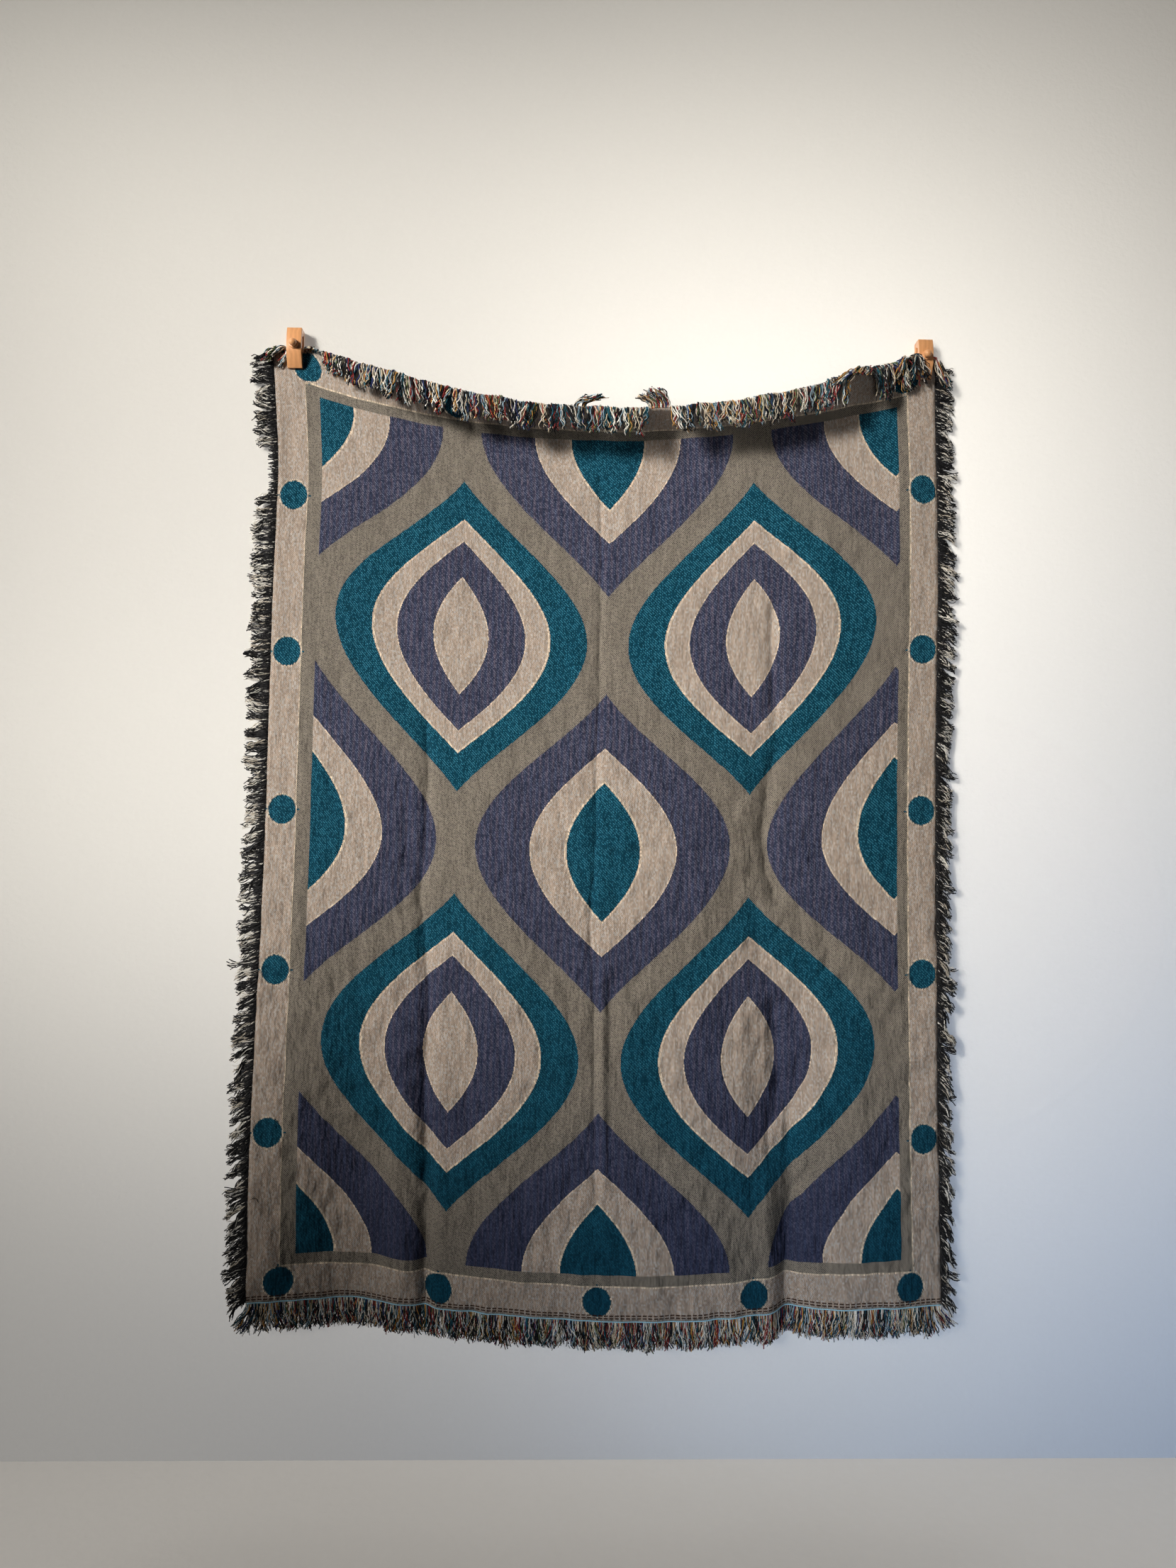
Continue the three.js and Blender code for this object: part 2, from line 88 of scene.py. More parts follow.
# main folds: starts, is full, is gone, x there and there, half width there and there, depth forward
mainFolds = [
    (250, 1765, 4000, 0, 40, 420, 330, 17),  # belly
    (800, 1765, 4000, -640, -655, 70, 115, 13),  # left corner
    (1000, 1765, 4000, -430, -474, 60, 92, -32),  # left hem
    (500, 1300, 4000, -350, -338, 55, 80, -8),  # left trough
    (220, 1765, 4000, 285, 349, 150, 80, -22),  # right trough
    (1150, 1765, 4000, 330, 351, 24, 26, -13),  # right valley
    (900, 1765, 4000, 640, 645, 80, 120, 8),  # right corner
    (30, 130, 620, -585, -570, 14, 30, -5),  # left clamp pull
    (30, 150, 560, 590, 575, 14, 32, 5),  # right clamp pull
]

# lesser folds that only the looks carry, in the same columns
smallFolds = [
    (150, 420, 900, -430, -395, 26, 40, -2.6),
    (140, 380, 760, -330, -300, 22, 34, 2.2),
    (130, 330, 640, 430, 400, 24, 36, 2.6),
    (150, 420, 900, 500, 470, 20, 34, -2.4),
    (700, 1150, 1700, -180, -168, 30, 44, 2.4),
    (820, 1330, 4000, -262, -250, 20, 34, -2.6),
    (760, 1250, 4000, 168, 182, 26, 40, 2.6),
    (980, 1500, 4000, 236, 252, 18, 26, 3.4),
    (900, 1450, 4000, 452, 470, 26, 42, 3.6),
    (1180, 1640, 4000, -560, -585, 22, 34, -3.4),
    (1240, 1640, 4000, 560, 590, 24, 36, -3.2),
    (1350, 1700, 4000, 60, 84, 30, 46, 2.6),
    (1060, 1620, 4000, -378, -368, 26, 24, 9),
    (1060, 1620, 4000, -334, -323, 18, 14, -14),
    (1060, 1620, 4000, 318, 308, 30, 26, 9),
    (1100, 1620, 4000, 366, 352, 16, 13, -9),
    (40, 120, 460, -606, -612, 8, 14, -3.5),
    (1120, 1600, 4000, 638, 648, 46, 58, -14),
]

# sharper creases, most where the cloth lay folded in its packet: depth forward, half width, and the
# line each follows as x and distance down
creases = [
    (-8.5, 9, [
        (-341, 633), (-334, 755), (-337, 892), (-346, 991),
        (-334, 1082), (-327, 1203), (-334, 1420),
    ]),
    (-3.6, 6, [(-373, 802), (-373, 910), (-380, 995), (-367, 1085)]),
    (-4.6, 5.5, [
        (-21, 133), (-15, 328), (-17, 467), (-16, 591),
        (-21, 715), (-19, 852), (-28, 1002),
    ]),
    (-4.6, 5.5, [(-26, 961), (-28, 1043), (-20, 1150), (-18, 1285), (-17, 1419), (-10, 1577)]),
    (5.0, 6.5, [(-8, 1082), (-3, 1176), (-4, 1284), (0, 1404), (2, 1522)]),
    (-3.4, 5.5, [(8, 1122), (9, 1257), (13, 1390), (9, 1470)]),
    (-7.5, 9, [(312, 404), (308, 486), (311, 569), (320, 652)]),
    (-13.0, 16, [(322, 679), (304, 773), (297, 854), (303, 936), (330, 1013)]),
    (-4.5, 6.5, [(406, 1055), (416, 1109), (424, 1163)]),
    (-14.5, 17, [
        (313, 1166), (319, 1235), (322, 1288), (329, 1344),
        (317, 1395), (308, 1433), (315, 1502),
    ]),
    (5.0, 26, [(261, 1188), (255, 1294), (243, 1386)]),
    (-4.2, 6, [(368, 1280), (363, 1334), (374, 1388)]),
    (-3.4, 6, [(393, 1254), (386, 1321), (396, 1367)]),
    (-4.2, 6, [(339, 1372), (349, 1440), (338, 1500)]),
    (-5.0, 6.5, [(398, 1485), (372, 1521), (357, 1564), (353, 1620), (344, 1683), (340, 1750)]),
    (-2.6, 6, [(403, 1589), (376, 1608), (358, 1634)]),
    (-4.2, 6.5, [
        (-366, 1486), (-352, 1532), (-337, 1566),
        (-326, 1635), (-328, 1702), (-324, 1756),
    ]),
    (-2.4, 6, [(-384, 1502), (-370, 1554), (-362, 1606)]),
    (4.0, 8, [(-555, 1452), (-500, 1425), (-435, 1406), (-395, 1393)]),
    (-4.5, 7, [(-159, 891), (-34, 887), (59, 882), (192, 885), (273, 887)]),
    (-2.6, 8, [(-292, 436), (-159, 420), (-39, 416)]),
    (-3.2, 8, [(-198, 1342), (-107, 1340), (-15, 1333)]),
]
creaseShape = {"fade": 34, "round": 0.3}
wallGap = {"least": 3.0, "soft": 1.5}
pucker = {
    "waves": 34, "wavesAtHeight": 4, "shortest": 34, "longest": 130, "height": 0.6,
    "lowerGain": 0.9, "lowerFrom": 500, "lowerTo": 1500,
}
edgeWave = {"height": 2.4, "lengths": (61, 97, 173), "fade": 60}


def mix(first, second, share):
    return first + (second - first) * share


def smooth(value, low, high):
    share = np.clip((value - low) / (high - low), 0, 1)
    return share * share * (3 - 2 * share)


def bell(value):
    return np.exp(-value * value)


def unit(vectors):
    return vectors / np.linalg.norm(vectors, axis=-1, keepdims=True)


def tableCurve(rows, column, place):
    table = np.array(rows, float)
    stops, values = table[:, 0], table[:, column]
    slopes = np.gradient(values, stops)
    place = np.clip(place, stops[0], stops[-1])
    i = np.clip(np.searchsorted(stops, place, side="right") - 1, 0, len(stops) - 2)
    span = stops[i + 1] - stops[i]
    t = (place - stops[i]) / span
    start = (values[i] * (1 + 2 * t) + slopes[i] * span * t) * (1 - t) ** 2
    end = (values[i + 1] * (3 - 2 * t) + slopes[i + 1] * span * (t - 1)) * t * t
    return start + end


def foldDepth(x, down, rows):
    depth = np.zeros_like(x)
    for begin, full, gone, startX, endX, startWidth, endWidth, height in rows:
        grow = smooth(down, begin, full) * (1 - smooth(down, full, gone))
        run = np.clip((down - begin) / (full - begin), 0, 1)
        depth += height * grow * bell((x - mix(startX, endX, run)) / mix(startWidth, endWidth, run))
    return depth


puckerTurn = rng.uniform(0, math.pi, pucker["waves"])
puckerStep = 2 * math.pi / rng.uniform(pucker["shortest"], pucker["longest"], pucker["waves"])
puckerPhase = rng.uniform(0, 2 * math.pi, pucker["waves"])


# distance from a crease's line and how far the nearest place on it is from its ends
def creaseReach(x, down, line):
    away, inward = np.full(x.shape, np.inf), np.zeros(x.shape)
    lengths = [math.dist(*pair) for pair in zip(line, line[1:])]
    begin, total = 0.0, sum(lengths)
    for (x0, down0), (x1, down1), length in zip(line, line[1:], lengths):
        run = ((x - x0) * (x1 - x0) + (down - down0) * (down1 - down0)) / length**2
        run = np.clip(run, 0, 1)
        gap = np.hypot(x - mix(x0, x1, run), down - mix(down0, down1, run))
        place = begin + run * length
        inward = np.where(gap < away, np.minimum(place, total - place), inward)
        away = np.minimum(away, gap)
        begin += length
    return away, inward


def creaseDepth(x, down):
    depth = np.zeros_like(x)
    soft = creaseShape["round"]
    for height, width, line in creases:
        away, inward = creaseReach(x, down, line)
        ridge = np.exp(soft - np.hypot(away / width, soft))
        depth += height * ridge * smooth(inward, 0, creaseShape["fade"])
    ripple = np.zeros_like(x)
    for turn, step, phase in zip(puckerTurn, puckerStep, puckerPhase):
        ripple += np.sin(step * (x * math.cos(turn) + down * math.sin(turn)) + phase)
    gain = 1 + pucker["lowerGain"] * smooth(down, pucker["lowerFrom"], pucker["lowerTo"])
    crowding = math.sqrt(pucker["waves"] / pucker["wavesAtHeight"])
    return depth + pucker["height"] * gain * ripple / crowding


def sheetPoint(share, down):
    share, down = np.broadcast_arrays(np.asarray(share, float), np.asarray(down, float))
    x = mix(tableCurve(sideEdges, 1, down), tableCurve(sideEdges, 2, down), share)

    def half(key):
        return np.where(x < 0, *hang[key])

    lower = np.maximum(down, hang["bendLine"])
    run = (lower - hang["bendLine"]) / (hang["length"] - hang["bendLine"])
    across = np.minimum(np.abs(x) / hang["clampX"], 1)
    depth = mix(hang["middleDepth"], hang["gripDepth"], across**2)
    depth = mix(depth, hang["hemDepth"], run ** hang["depthPower"])
    depth = depth + foldDepth(x, lower, mainFolds) + foldDepth(x, lower, smallFolds)
    sagShare = np.minimum(np.abs(x) / half("sagReach"), 1) ** half("sagPower")
    lineZ = mix(hang["sagMiddle"], half("sagZ"), sagShare)
    topShare = np.clip((x - sideEdges[0][1]) / (sideEdges[0][2] - sideEdges[0][1]), 0, 1)
    hemBelly = bell((x - hang["hemSagX"]) / hang["hemSagWidth"])
    hemCurve = mix(*hang["hemZ"], topShare) - hang["hemSag"] * hemBelly
    z = mix(lineZ, hemCurve, run)
    rise = (lower - down) / hang["bendSteps"]
    reach = np.minimum(np.abs(x) / hang["awningReach"], 1)
    tip = math.radians(hang["awningAngle"]) * (1 - reach ** half("awningPower"))
    for step in range(hang["bendSteps"]):
        angle = tip * smooth((step + 0.5) * rise, 0, hang["bendRamp"])
        depth = depth + rise * np.sin(angle)
        z = z + rise * np.cos(angle)
    waves = sum(np.sin(2 * math.pi * x / length + length) for length in edgeWave["lengths"])
    loose = waves / len(edgeWave["lengths"]) * edgeWave["height"] * np.exp(-down / edgeWave["fade"])
    aside = np.abs(np.abs(x) - hang["clampX"]) - hang["clampWidth"] / 2 - hang["gripSide"]
    aside = np.maximum(aside, 0)
    free = smooth(np.hypot(aside, np.maximum(down - hang["gripDown"], 0)), 0, hang["gripBlend"])
    depth = mix(hang["gripDepth"], depth + creaseDepth(x, down), free)
    gapSoft = wallGap["soft"]
    depth = gapSoft * np.logaddexp(depth / gapSoft, wallGap["least"] / gapSoft)
    past = np.maximum(np.abs(x) - hang["droopFrom"], 0) / hang["droopWidth"]
    z = z - half("droop") * past * np.exp(-down / hang["droopFade"]) + loose * free
    return np.stack([x, -depth, z], -1)


def sheetFrame(share, down):
    shareStep, downStep = 0.001, 1.0
    right = sheetPoint(np.minimum(share + shareStep, 1), down)
    right = unit(right - sheetPoint(np.maximum(share - shareStep, 0), down))
    below = sheetPoint(share, np.minimum(down + downStep, hang["length"]))
    below = unit(below - sheetPoint(share, np.maximum(down - downStep, 0)))
    return sheetPoint(share, down), right, below, unit(np.cross(below, right))


# short words for shader nodes
def plug(tree, socket, value):
    value = getattr(value, "wired", value)
    if isinstance(value, bpy.types.NodeSocket):
        tree.links.new(value, socket)
    else:
        socket.default_value = value


def addNode(tree, kind, sockets=None, **settings):
    node = tree.nodes.new("ShaderNode" + kind)
    for name, value in settings.items():
        setattr(node, name, value)
    for socket, value in (sockets or {}).items():
        plug(tree, node.inputs[socket], value)
    return node


# a number in a shader, which sums can be made of; the bar takes the larger of two
class Wire:
    def __init__(self, tree, wired):
        self.tree, self.wired = tree, wired

    def do(self, operation, *values):
        node = addNode(self.tree, "Math", dict(enumerate((self, *values))), operation=operation)
        return Wire(self.tree, node.outputs[0])

    __add__ = partialmethod(do, "ADD")
    __sub__ = partialmethod(do, "SUBTRACT")
    __mul__ = partialmethod(do, "MULTIPLY")
    __truediv__ = partialmethod(do, "DIVIDE")
    __lt__ = partialmethod(do, "LESS_THAN")
    __gt__ = partialmethod(do, "GREATER_THAN")
    __or__ = partialmethod(do, "MAXIMUM")
    __abs__ = partialmethod(do, "ABSOLUTE")
    scaled = partialmethod(do, "MULTIPLY_ADD")

    def under(self, step, share):
        return (self / step).do("FRACT") < share


def wires(tree, node):
    return [Wire(tree, output) for output in node.outputs]


def layer(tree, share, under, over, mode="MIX"):
    colours = {0: share, 6: under, 7: over}
    return addNode(tree, "Mix", colours, data_type="RGBA", blend_type=mode).outputs[2]


def shaded(tree, colour, shade):
    tone = addNode(tree, "CombineColor", {0: shade, 1: shade, 2: shade})
    return layer(tree, 1.0, colour, tone.outputs[0], mode="MULTIPLY")


def stretched(tree, place, scale):
    return addNode(tree, "Mapping", {"Vector": place, "Scale": scale}).outputs[0]


def addNoise(tree, place, scale, detail, **settings):
    sockets = {"Vector": place, "Scale": scale, "Detail": detail}
    return Wire(tree, addNode(tree, "TexNoise", sockets, **settings).outputs[0])


def addBump(tree, shader, height, distance, strength):
    sockets = {"Height": height, "Distance": distance, "Strength": strength}
    tree.links.new(addNode(tree, "Bump", sockets).outputs[0], shader.inputs["Normal"])


def mixShaders(tree, share, first, second, output):
    both = addNode(tree, "MixShader", {0: share, 1: first.outputs[0], 2: second.outputs[0]})
    tree.links.new(both.outputs[0], tree.nodes[output].inputs["Surface"])


def rgba(colour):
    return (*colour, 1.0)


def newMaterial(name, **constants):
    material = bpy.data.materials.new(name)
    material.use_nodes = True
    tree = material.node_tree
    shader = tree.nodes["Principled BSDF"]
    for socket, value in constants.items():
        shader.inputs[socket.replace("_", " ")].default_value = value
    return material, tree, shader


def addMesh(name, points, faces, materials):
    mesh = bpy.data.meshes.new(name)
    mesh.from_pydata(points, [], faces)
    for material in materials:
        mesh.materials.append(material)
    piece = bpy.data.objects.new(name, mesh)
    bpy.context.collection.objects.link(piece)
    return piece


def smoothWithUv(mesh, name, uv):
    mesh.uv_layers.new(name=name).data.foreach_set("uv", uv.ravel())
    mesh.polygons.foreach_set("use_smooth", np.ones(len(mesh.polygons), bool))
    mesh.update()


# the woven design in metres on the flat cloth; border and band by left, right, lower and upper edge
weave = {
    "columns": 220, "rows": 220, "cell": 0.0015, "thread": 0.0009,
    "border": {"left": 0.0575, "right": 0.0550, "lower": 0.0630, "upper": 0.0610},
    "band": {"left": 0.0860, "right": 0.0760, "lower": 0.0840, "upper": 0.0810}, "lineShare": 0.019,
    "spotWide": 0.0272, "spotTall": 0.0285, "spotTip": (0.0017, 0.0335), "spotsHalf": 2.5,
    "rimShare": 0.06, "stripe": 0.0115, "repeatMargin": 0.082,
}
# rows of border spots: how far in from the edge, where the middle one is, their step
spotRows = {
    "left": (0.0315, 0.898, 0.2965),
    "right": (0.0290, 0.911, 0.3045),
    "lower": (0.0345, 0.6400, 0.292),
    "upper": (0.0300, 0.6455, 0.290),
}
seam = {"rows": (0.0048, 0.0096), "half": 0.0014, "stitch": 0.0102, "sewn": 0.74, "cover": 0.9}
# steps are in threads; a pair after a yarn's name is its gain by grain and its least share
threads = {
    "twill": 4.0, "twillDark": 0.3, "twillHalf": 0.6, "fleckLine": (6.0, 0.3),
    "fleckCross": (4.0, 0.45), "fleckGrain": 0.45, "fleckShare": (0.95, 0.1), "grain": (2.0, 4.0),
    "slub": (340, 0.06, 3.0), "beigeDark": 0.75, "beigeCool": 0.6, "coolStripe": 0.2,
    "coolGrain": 0.84, "taupe": (0.75, 0.38), "warm": (0.7, 0.15), "cream": (0.6, 0.35),
    # two entries fade the flecks and warm threads towards the lower edge, which paints shade there
    "rim": (0.85, 0.0), "slubShade": (0.6, 0.7), "grainShade": (0.56, 0.72), "paintedShadeLow": -0.94,
    "warmPaintedShade": (0.8, 0.2),
}
# noises are scale, squeeze along the cloth, detail; heights in metres
relief = {
    "crinkle": (62, 0.5, 2.0), "crinkleHeight": 0.0036, "darkCrinkle": (120, 0.2, 2.0),
    "darkHeight": 0.0022, "tealShare": 0.5, "lowerGain": (-0.75, 2.1), "twill": 0.00016,
    "slub": 0.00022, "grain": 0.0001, "bump": (1.0, 0.8),
}

# leaf bands from the middle of one leaf to the middle of its neighbour: where each starts
leafBands = [
    (0.0, "teal"), (0.25, "cream"), (0.259, "beige"), (0.49, "cream"), (0.499, "navy"),
    (0.86, "taupe"), (1.14, "teal"), (1.39, "cream"), (1.399, "beige"), (1.55, "cream"),
    (1.559, "navy"), (1.81, "cream"), (1.819, "beige"),
]
bandMask = {
    "beige": (0, 0, 0, 0),
    "teal": (1, 0, 0, 0),
    "navy": (0, 1, 0, 0),
    "taupe": (0, 0, 1, 0),
    "cream": (0, 0, 0, 1),
}

faceYarns = {
    "beige": (0.52, 0.425, 0.350), "beigeDark": (0.25, 0.195, 0.165),
    "beigeCool": (0.34, 0.345, 0.345), "taupe": (0.415, 0.368, 0.305),
    "taupeDark": (0.042, 0.038, 0.036), "teal": (0.004, 0.048, 0.084),
    "tealBright": (0.070, 0.31, 0.43), "navy": (0.032, 0.041, 0.084),
    "navyWarm": (0.150, 0.092, 0.095), "navyPale": (0.17, 0.195, 0.26), "cream": (0.70, 0.59, 0.45),
    "stitch": (0.042, 0.017, 0.010),
}
# the other side of such a weave shows the colours the other way round
backYarns = dict(
    faceYarns,
    beige=(0.052, 0.064, 0.115),
    beigeDark=(0.115, 0.085, 0.100),
    beigeCool=(0.030, 0.050, 0.075),
    teal=(0.30, 0.25, 0.20),
    tealBright=(0.10, 0.27, 0.31),
    navy=(0.46, 0.38, 0.31),
    navyWarm=(0.36, 0.24, 0.20),
    navyPale=(0.30, 0.31, 0.32),
    cream=(0.10, 0.085, 0.075),
)


def wovenMaterial(name, yarns):
    material, tree, shader = newMaterial(name, Roughness=0.94, Specular_IOR_Level=0.12)
    width, length = hang["width"] * mm, hang["length"] * mm

    def dyed(share, below, yarnName):
        return layer(tree, share, below, rgba(yarns[yarnName]))

    def noise(scale, squeeze, detail):
        place = stretched(tree, flat, (scale, scale * squeeze, 1))
        return addNoise(tree, place, 1.0, detail, noise_dimensions="2D")

    flat = addNode(tree, "UVMap", uv_map="flatCloth").outputs[0]
    u, v, _ = wires(tree, addNode(tree, "SeparateXYZ", {0: flat}))
    cell = weave["cell"]
    cellU, cellV = (place.do("SNAP", cell) + cell / 2 for place in (u, v))
    edges = {
        "left": cellU,
        "right": cellU.scaled(-1, width),
        "lower": cellV,
        "upper": cellV.scaled(-1, length),
    }

    # field of pointed leaves in staggered rows, each in bands
    margin = weave["repeatMargin"]
    foldU = (abs(cellU - width / 2) / ((width / 2 - margin) / 2)).do("PINGPONG", 1)
    waveV = (abs(cellV - length / 2) * (2 * math.pi / (length / 2 - margin))).do("COSINE")
    ring = foldU + waveV.scaled(-0.5, 0.5)
    ramp = addNode(tree, "ValToRGB", {0: ring / 2})
    ramp.color_ramp.interpolation = "CONSTANT"
    stops = ramp.color_ramp.elements
    stops.remove(stops[1])
    stops[0].color = bandMask[leafBands[0][1]]
    for start, area in leafBands[1:]:
        stops.new(start / 2).color = bandMask[area]
    leafTeal, leafNavy, leafTaupe = wires(tree, addNode(tree, "SeparateColor", {0: ramp.outputs[0]}))
    leafCream = Wire(tree, ramp.outputs[1])

    # border: pale line and a narrow band inside it, then the rows of spots
    def frameShare(sizes):
        nearest, *others = (edges[edge] / size for edge, size in sizes.items())
        for share in others:
            nearest = nearest.do("MINIMUM", share)
        return nearest

    lineShare = frameShare(weave["border"])
    inside = frameShare(weave["band"]) > 1
    band = (lineShare > 1) - inside
    line = lineShare.do("COMPARE", 1, weave["lineShare"])
    tipHalf, tipReach = weave["spotTip"]
    spot = rim = sewn = Wire(tree, 0)
    for edge, (inset, middle, step) in spotRows.items():
        atSide = edge in ("left", "right")
        onward = (cellV if atSide else cellU) - middle
        across = edges[edge] - inset
        near = abs(onward) < step * weave["spotsHalf"]
        along = onward.do("PINGPONG", step / 2)
        tall, wide = (along, across) if atSide else (across, along)
        tall, wide = tall / weave["spotTall"], wide / weave["spotWide"]
        away = (tall * tall + wide * wide).do("SQRT")
        tip = (along < tipHalf) * (abs(across) < tipReach)
        spot = spot | near * (tip | (away < 1))
        rim = rim | near * away.do("COMPARE", 1, weave["rimShare"])
    teal = leafTeal * inside | spot
    navy = leafNavy * inside
    taupe = leafTaupe * inside | band
    cream = leafCream * inside | line

    # single threads: a twill step for each row, slanting lines of flecks, a shade for each crossing
    warp, weft = ((place / weave["thread"]).do("FLOOR") for place in (u, v))
    slant = warp + weft
    twill = (slant / threads["twill"]).do("FRACT")
    fleck = slant.under(*threads["fleckLine"]) * (warp - weft).under(*threads["fleckCross"])
    crossing = [(row / step).do("FLOOR") for row, step in zip((warp, weft), threads["grain"])]
    crossing = addNode(tree, "CombineXYZ", dict(enumerate(crossing))).outputs[0]
    grit = addNode(tree, "TexWhiteNoise", {"Vector": crossing}, noise_dimensions="2D")
    grain = Wire(tree, grit.outputs["Value"])
    stripe = (u * (2 * math.pi / weave["stripe"])).do("SINE").scaled(0.5, 0.5)
    slub = noise(*threads["slub"])

    darkTwill = (twill < threads["twillDark"]) * threads["beigeDark"]
    beigeYarn = dyed(darkTwill, rgba(yarns["beige"]), "beigeDark")
    cool = stripe.scaled(threads["coolStripe"], grain) > threads["coolGrain"]
    beigeYarn = dyed(cool * threads["beigeCool"], beigeYarn, "beigeCool")
    taupeShare = (twill < threads["twillHalf"]) * grain.scaled(*threads["taupe"])
    taupeYarn = dyed(taupeShare, rgba(yarns["taupe"]), "taupeDark")
    # painted shade: flecks and warm threads fade towards the lower edge, so teal and navy are painted darker
    # there
    lowShare = (v / length).scaled(-1, 1)
    paintedShadeFade = (lowShare * lowShare).scaled(threads["paintedShadeLow"], 1)
    fleckShare = fleck * (grain > threads["fleckGrain"]).scaled(*threads["fleckShare"]) * paintedShadeFade
    tealYarn = dyed(fleckShare, rgba(yarns["teal"]), "tealBright")
    warm = stripe * slub * grain.scaled(*threads["warm"]) * paintedShadeFade.scaled(*threads["warmPaintedShade"])
    navyYarn = dyed(warm, rgba(yarns["navy"]), "navyWarm")
    navyYarn = dyed(fleckShare, navyYarn, "navyPale")

    colour = beigeYarn
    for share, areaYarn in ((taupe, taupeYarn), (teal, tealYarn), (navy, navyYarn)):
        colour = layer(tree, share, colour, areaYarn)
    creamShare = cream * grain.scaled(*threads["cream"]) | rim * grain.scaled(*threads["rim"])
    colour = dyed(creamShare, colour, "cream")

    # two sewn lines above the lower edge
    for row in seam["rows"]:
        sewn = sewn | v.do("COMPARE", row, seam["half"])
    sewn = sewn * u.under(seam["stitch"], seam["sewn"])
    colour = dyed(sewn * seam["cover"], colour, "stitch")
    shade = slub.scaled(*threads["slubShade"]) * grain.scaled(*threads["grainShade"])
    tree.links.new(shaded(tree, colour, shade), shader.inputs["Base Color"])

    # threads stand up a little, and the whole cloth is slightly crinkled, more so lower down
    lower = v.scaled(*relief["lowerGain"])
    dark = (navy | teal * relief["tealShare"]) * lower
    height = (noise(*relief["crinkle"]) * lower).scaled(relief["crinkleHeight"], twill * relief["twill"])
    height = (noise(*relief["darkCrinkle"]) * dark).scaled(relief["darkHeight"], height)
    height = grain.scaled(relief["grain"], slub.scaled(relief["slub"], height))
    addBump(tree, shader, height, *relief["bump"])
    return material


# columns of the mesh crowd together at the long creases: place across, reach, gain
creaseColumns = [(0.238, 0.032, 1.7), (0.492, 0.028, 2.2), (0.762, 0.045, 1.5)]
fineSteps = 4000


def addCloth():
    columns, rows = weave["columns"] + 1, weave["rows"] + 1
    even = np.linspace(0, 1, fineSteps)
    crowd = 1 + sum(gain * bell((even - place) / reach) for place, reach, gain in creaseColumns)
    filled = np.cumsum(crowd) - crowd[0]
    columnPlaces = np.interp(np.linspace(0, filled[-1], columns), filled, even)
    share, down = np.meshgrid(columnPlaces, np.linspace(0, hang["length"], rows))
    middle = sheetPoint(share, down)
    front = unit(np.cross(np.gradient(middle, axis=0), np.gradient(middle, axis=1)))
    half = hang["thickness"] / 2
    points = np.stack([middle + front * half, middle - front * half]).reshape(-1, 3) * mm
    face = np.arange(rows * columns).reshape(rows, columns)
    back = face + rows * columns

    def quads(a, b, c, d):
        return np.stack([a.ravel(), b.ravel(), c.ravel(), d.ravel()], 1)

    faces = [
        quads(face[1:, :-1], face[1:, 1:], face[:-1, 1:], face[:-1, :-1]),
        quads(back[:-1, :-1], back[:-1, 1:], back[1:, 1:], back[1:, :-1]),
        quads(back[:-1, 0], back[1:, 0], face[1:, 0], face[:-1, 0]),
        quads(face[:-1, -1], face[1:, -1], back[1:, -1], back[:-1, -1]),
        quads(face[0, :-1], face[0, 1:], back[0, 1:], back[0, :-1]),
        quads(back[-1, :-1], back[-1, 1:], face[-1, 1:], face[-1, :-1]),
    ]
    backStart, backEnd = len(faces[0]), len(faces[0]) + len(faces[1])
    faces = np.concatenate(faces)
    materials = [wovenMaterial("jacquardFace", faceYarns), wovenMaterial("jacquardBack", backYarns)]
    cloth = addMesh("blanketCloth", points.tolist(), faces.tolist(), materials)
    flat = np.stack([share * hang["width"], hang["length"] - down], -1).reshape(-1, 2) * mm
    flat = np.concatenate([flat, flat])
    sides = np.zeros(len(faces), int)
    sides[backStart:backEnd] = 1
    cloth.data.polygons.foreach_set("material_index", sides)
    smoothWithUv(cloth.data, "flatCloth", flat[faces.ravel()])
    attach(cloth, "root")
    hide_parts("blanket")
    return cloth


cloth = addCloth()
print("cloth hung,", len(cloth.data.polygons), "faces")


# yarns: how many, stops along one, radius at root and tip and length in millimetres, unevenness of
# the length, lock size, lean of locks in degrees, how far a lock draws together, waves along a yarn
# and their height, neighbours of one colour
sideYarns = {
    "yarns": 2800, "stops": 8, "radius": (1.1, 0.9), "length": 39, "spread": 0.16, "lock": 10,
    "lean": 15, "gather": 0.14, "waves": (0.8, 2.2), "curl": 3.6, "alike": 1.6,
}
fringe = {
    "top": {
        "yarns": 2600, "stops": 12, "radius": (1.25, 1.05), "length": 52, "spread": 0.18, "lock": 8,
        "lean": 13, "gather": 0.16, "waves": (1.1, 2.9), "curl": 4.0, "alike": 1.15,
    },
    "bottom": {
        "yarns": 3100, "stops": 9, "radius": (1.15, 0.95), "length": 48, "spread": 0.12, "lock": 7,
        "lean": 8, "gather": 0.1, "waves": (0.9, 2.3), "curl": 3.6, "alike": 1.2,
    },
    "left": sideYarns,
    "right": dict(sideYarns, length=34),
}
# what all of them share; spreads are from least to most
yarn = {
    "sides": 3, "threadSides": 6, "twist": 3.2, "plyShade": (0.7, 0.76), "plyBump": (0.0004, 0.6),
    "dyeSpread": (0.75, 1.15), "radiusSpread": (0.8, 1.2), "lockSpread": (0.5, 1.5),
    "spareLocks": (1.6, 4), "lockUneven": 0.55, "yarnUneven": 0.07, "waveGains": (1.0, 0.6),
    "gatherPower": 1.3, "edgeRange": (0.001, 0.999), "rootSpread": (-0.8, 0.8), "rootStep": 0.3,
}
rootPile = {
    "yarns": 1900, "stops": 4, "radius": (1.2, 0.8), "length": (10, 20), "splay": 18,
    "forward": (-0.1, 0.3), "rootSpread": (0, 1.2), "rootStep": 0.6, "dyeSpread": (0.6, 1.6),
}
pileColour = (0.007, 0.007, 0.009)

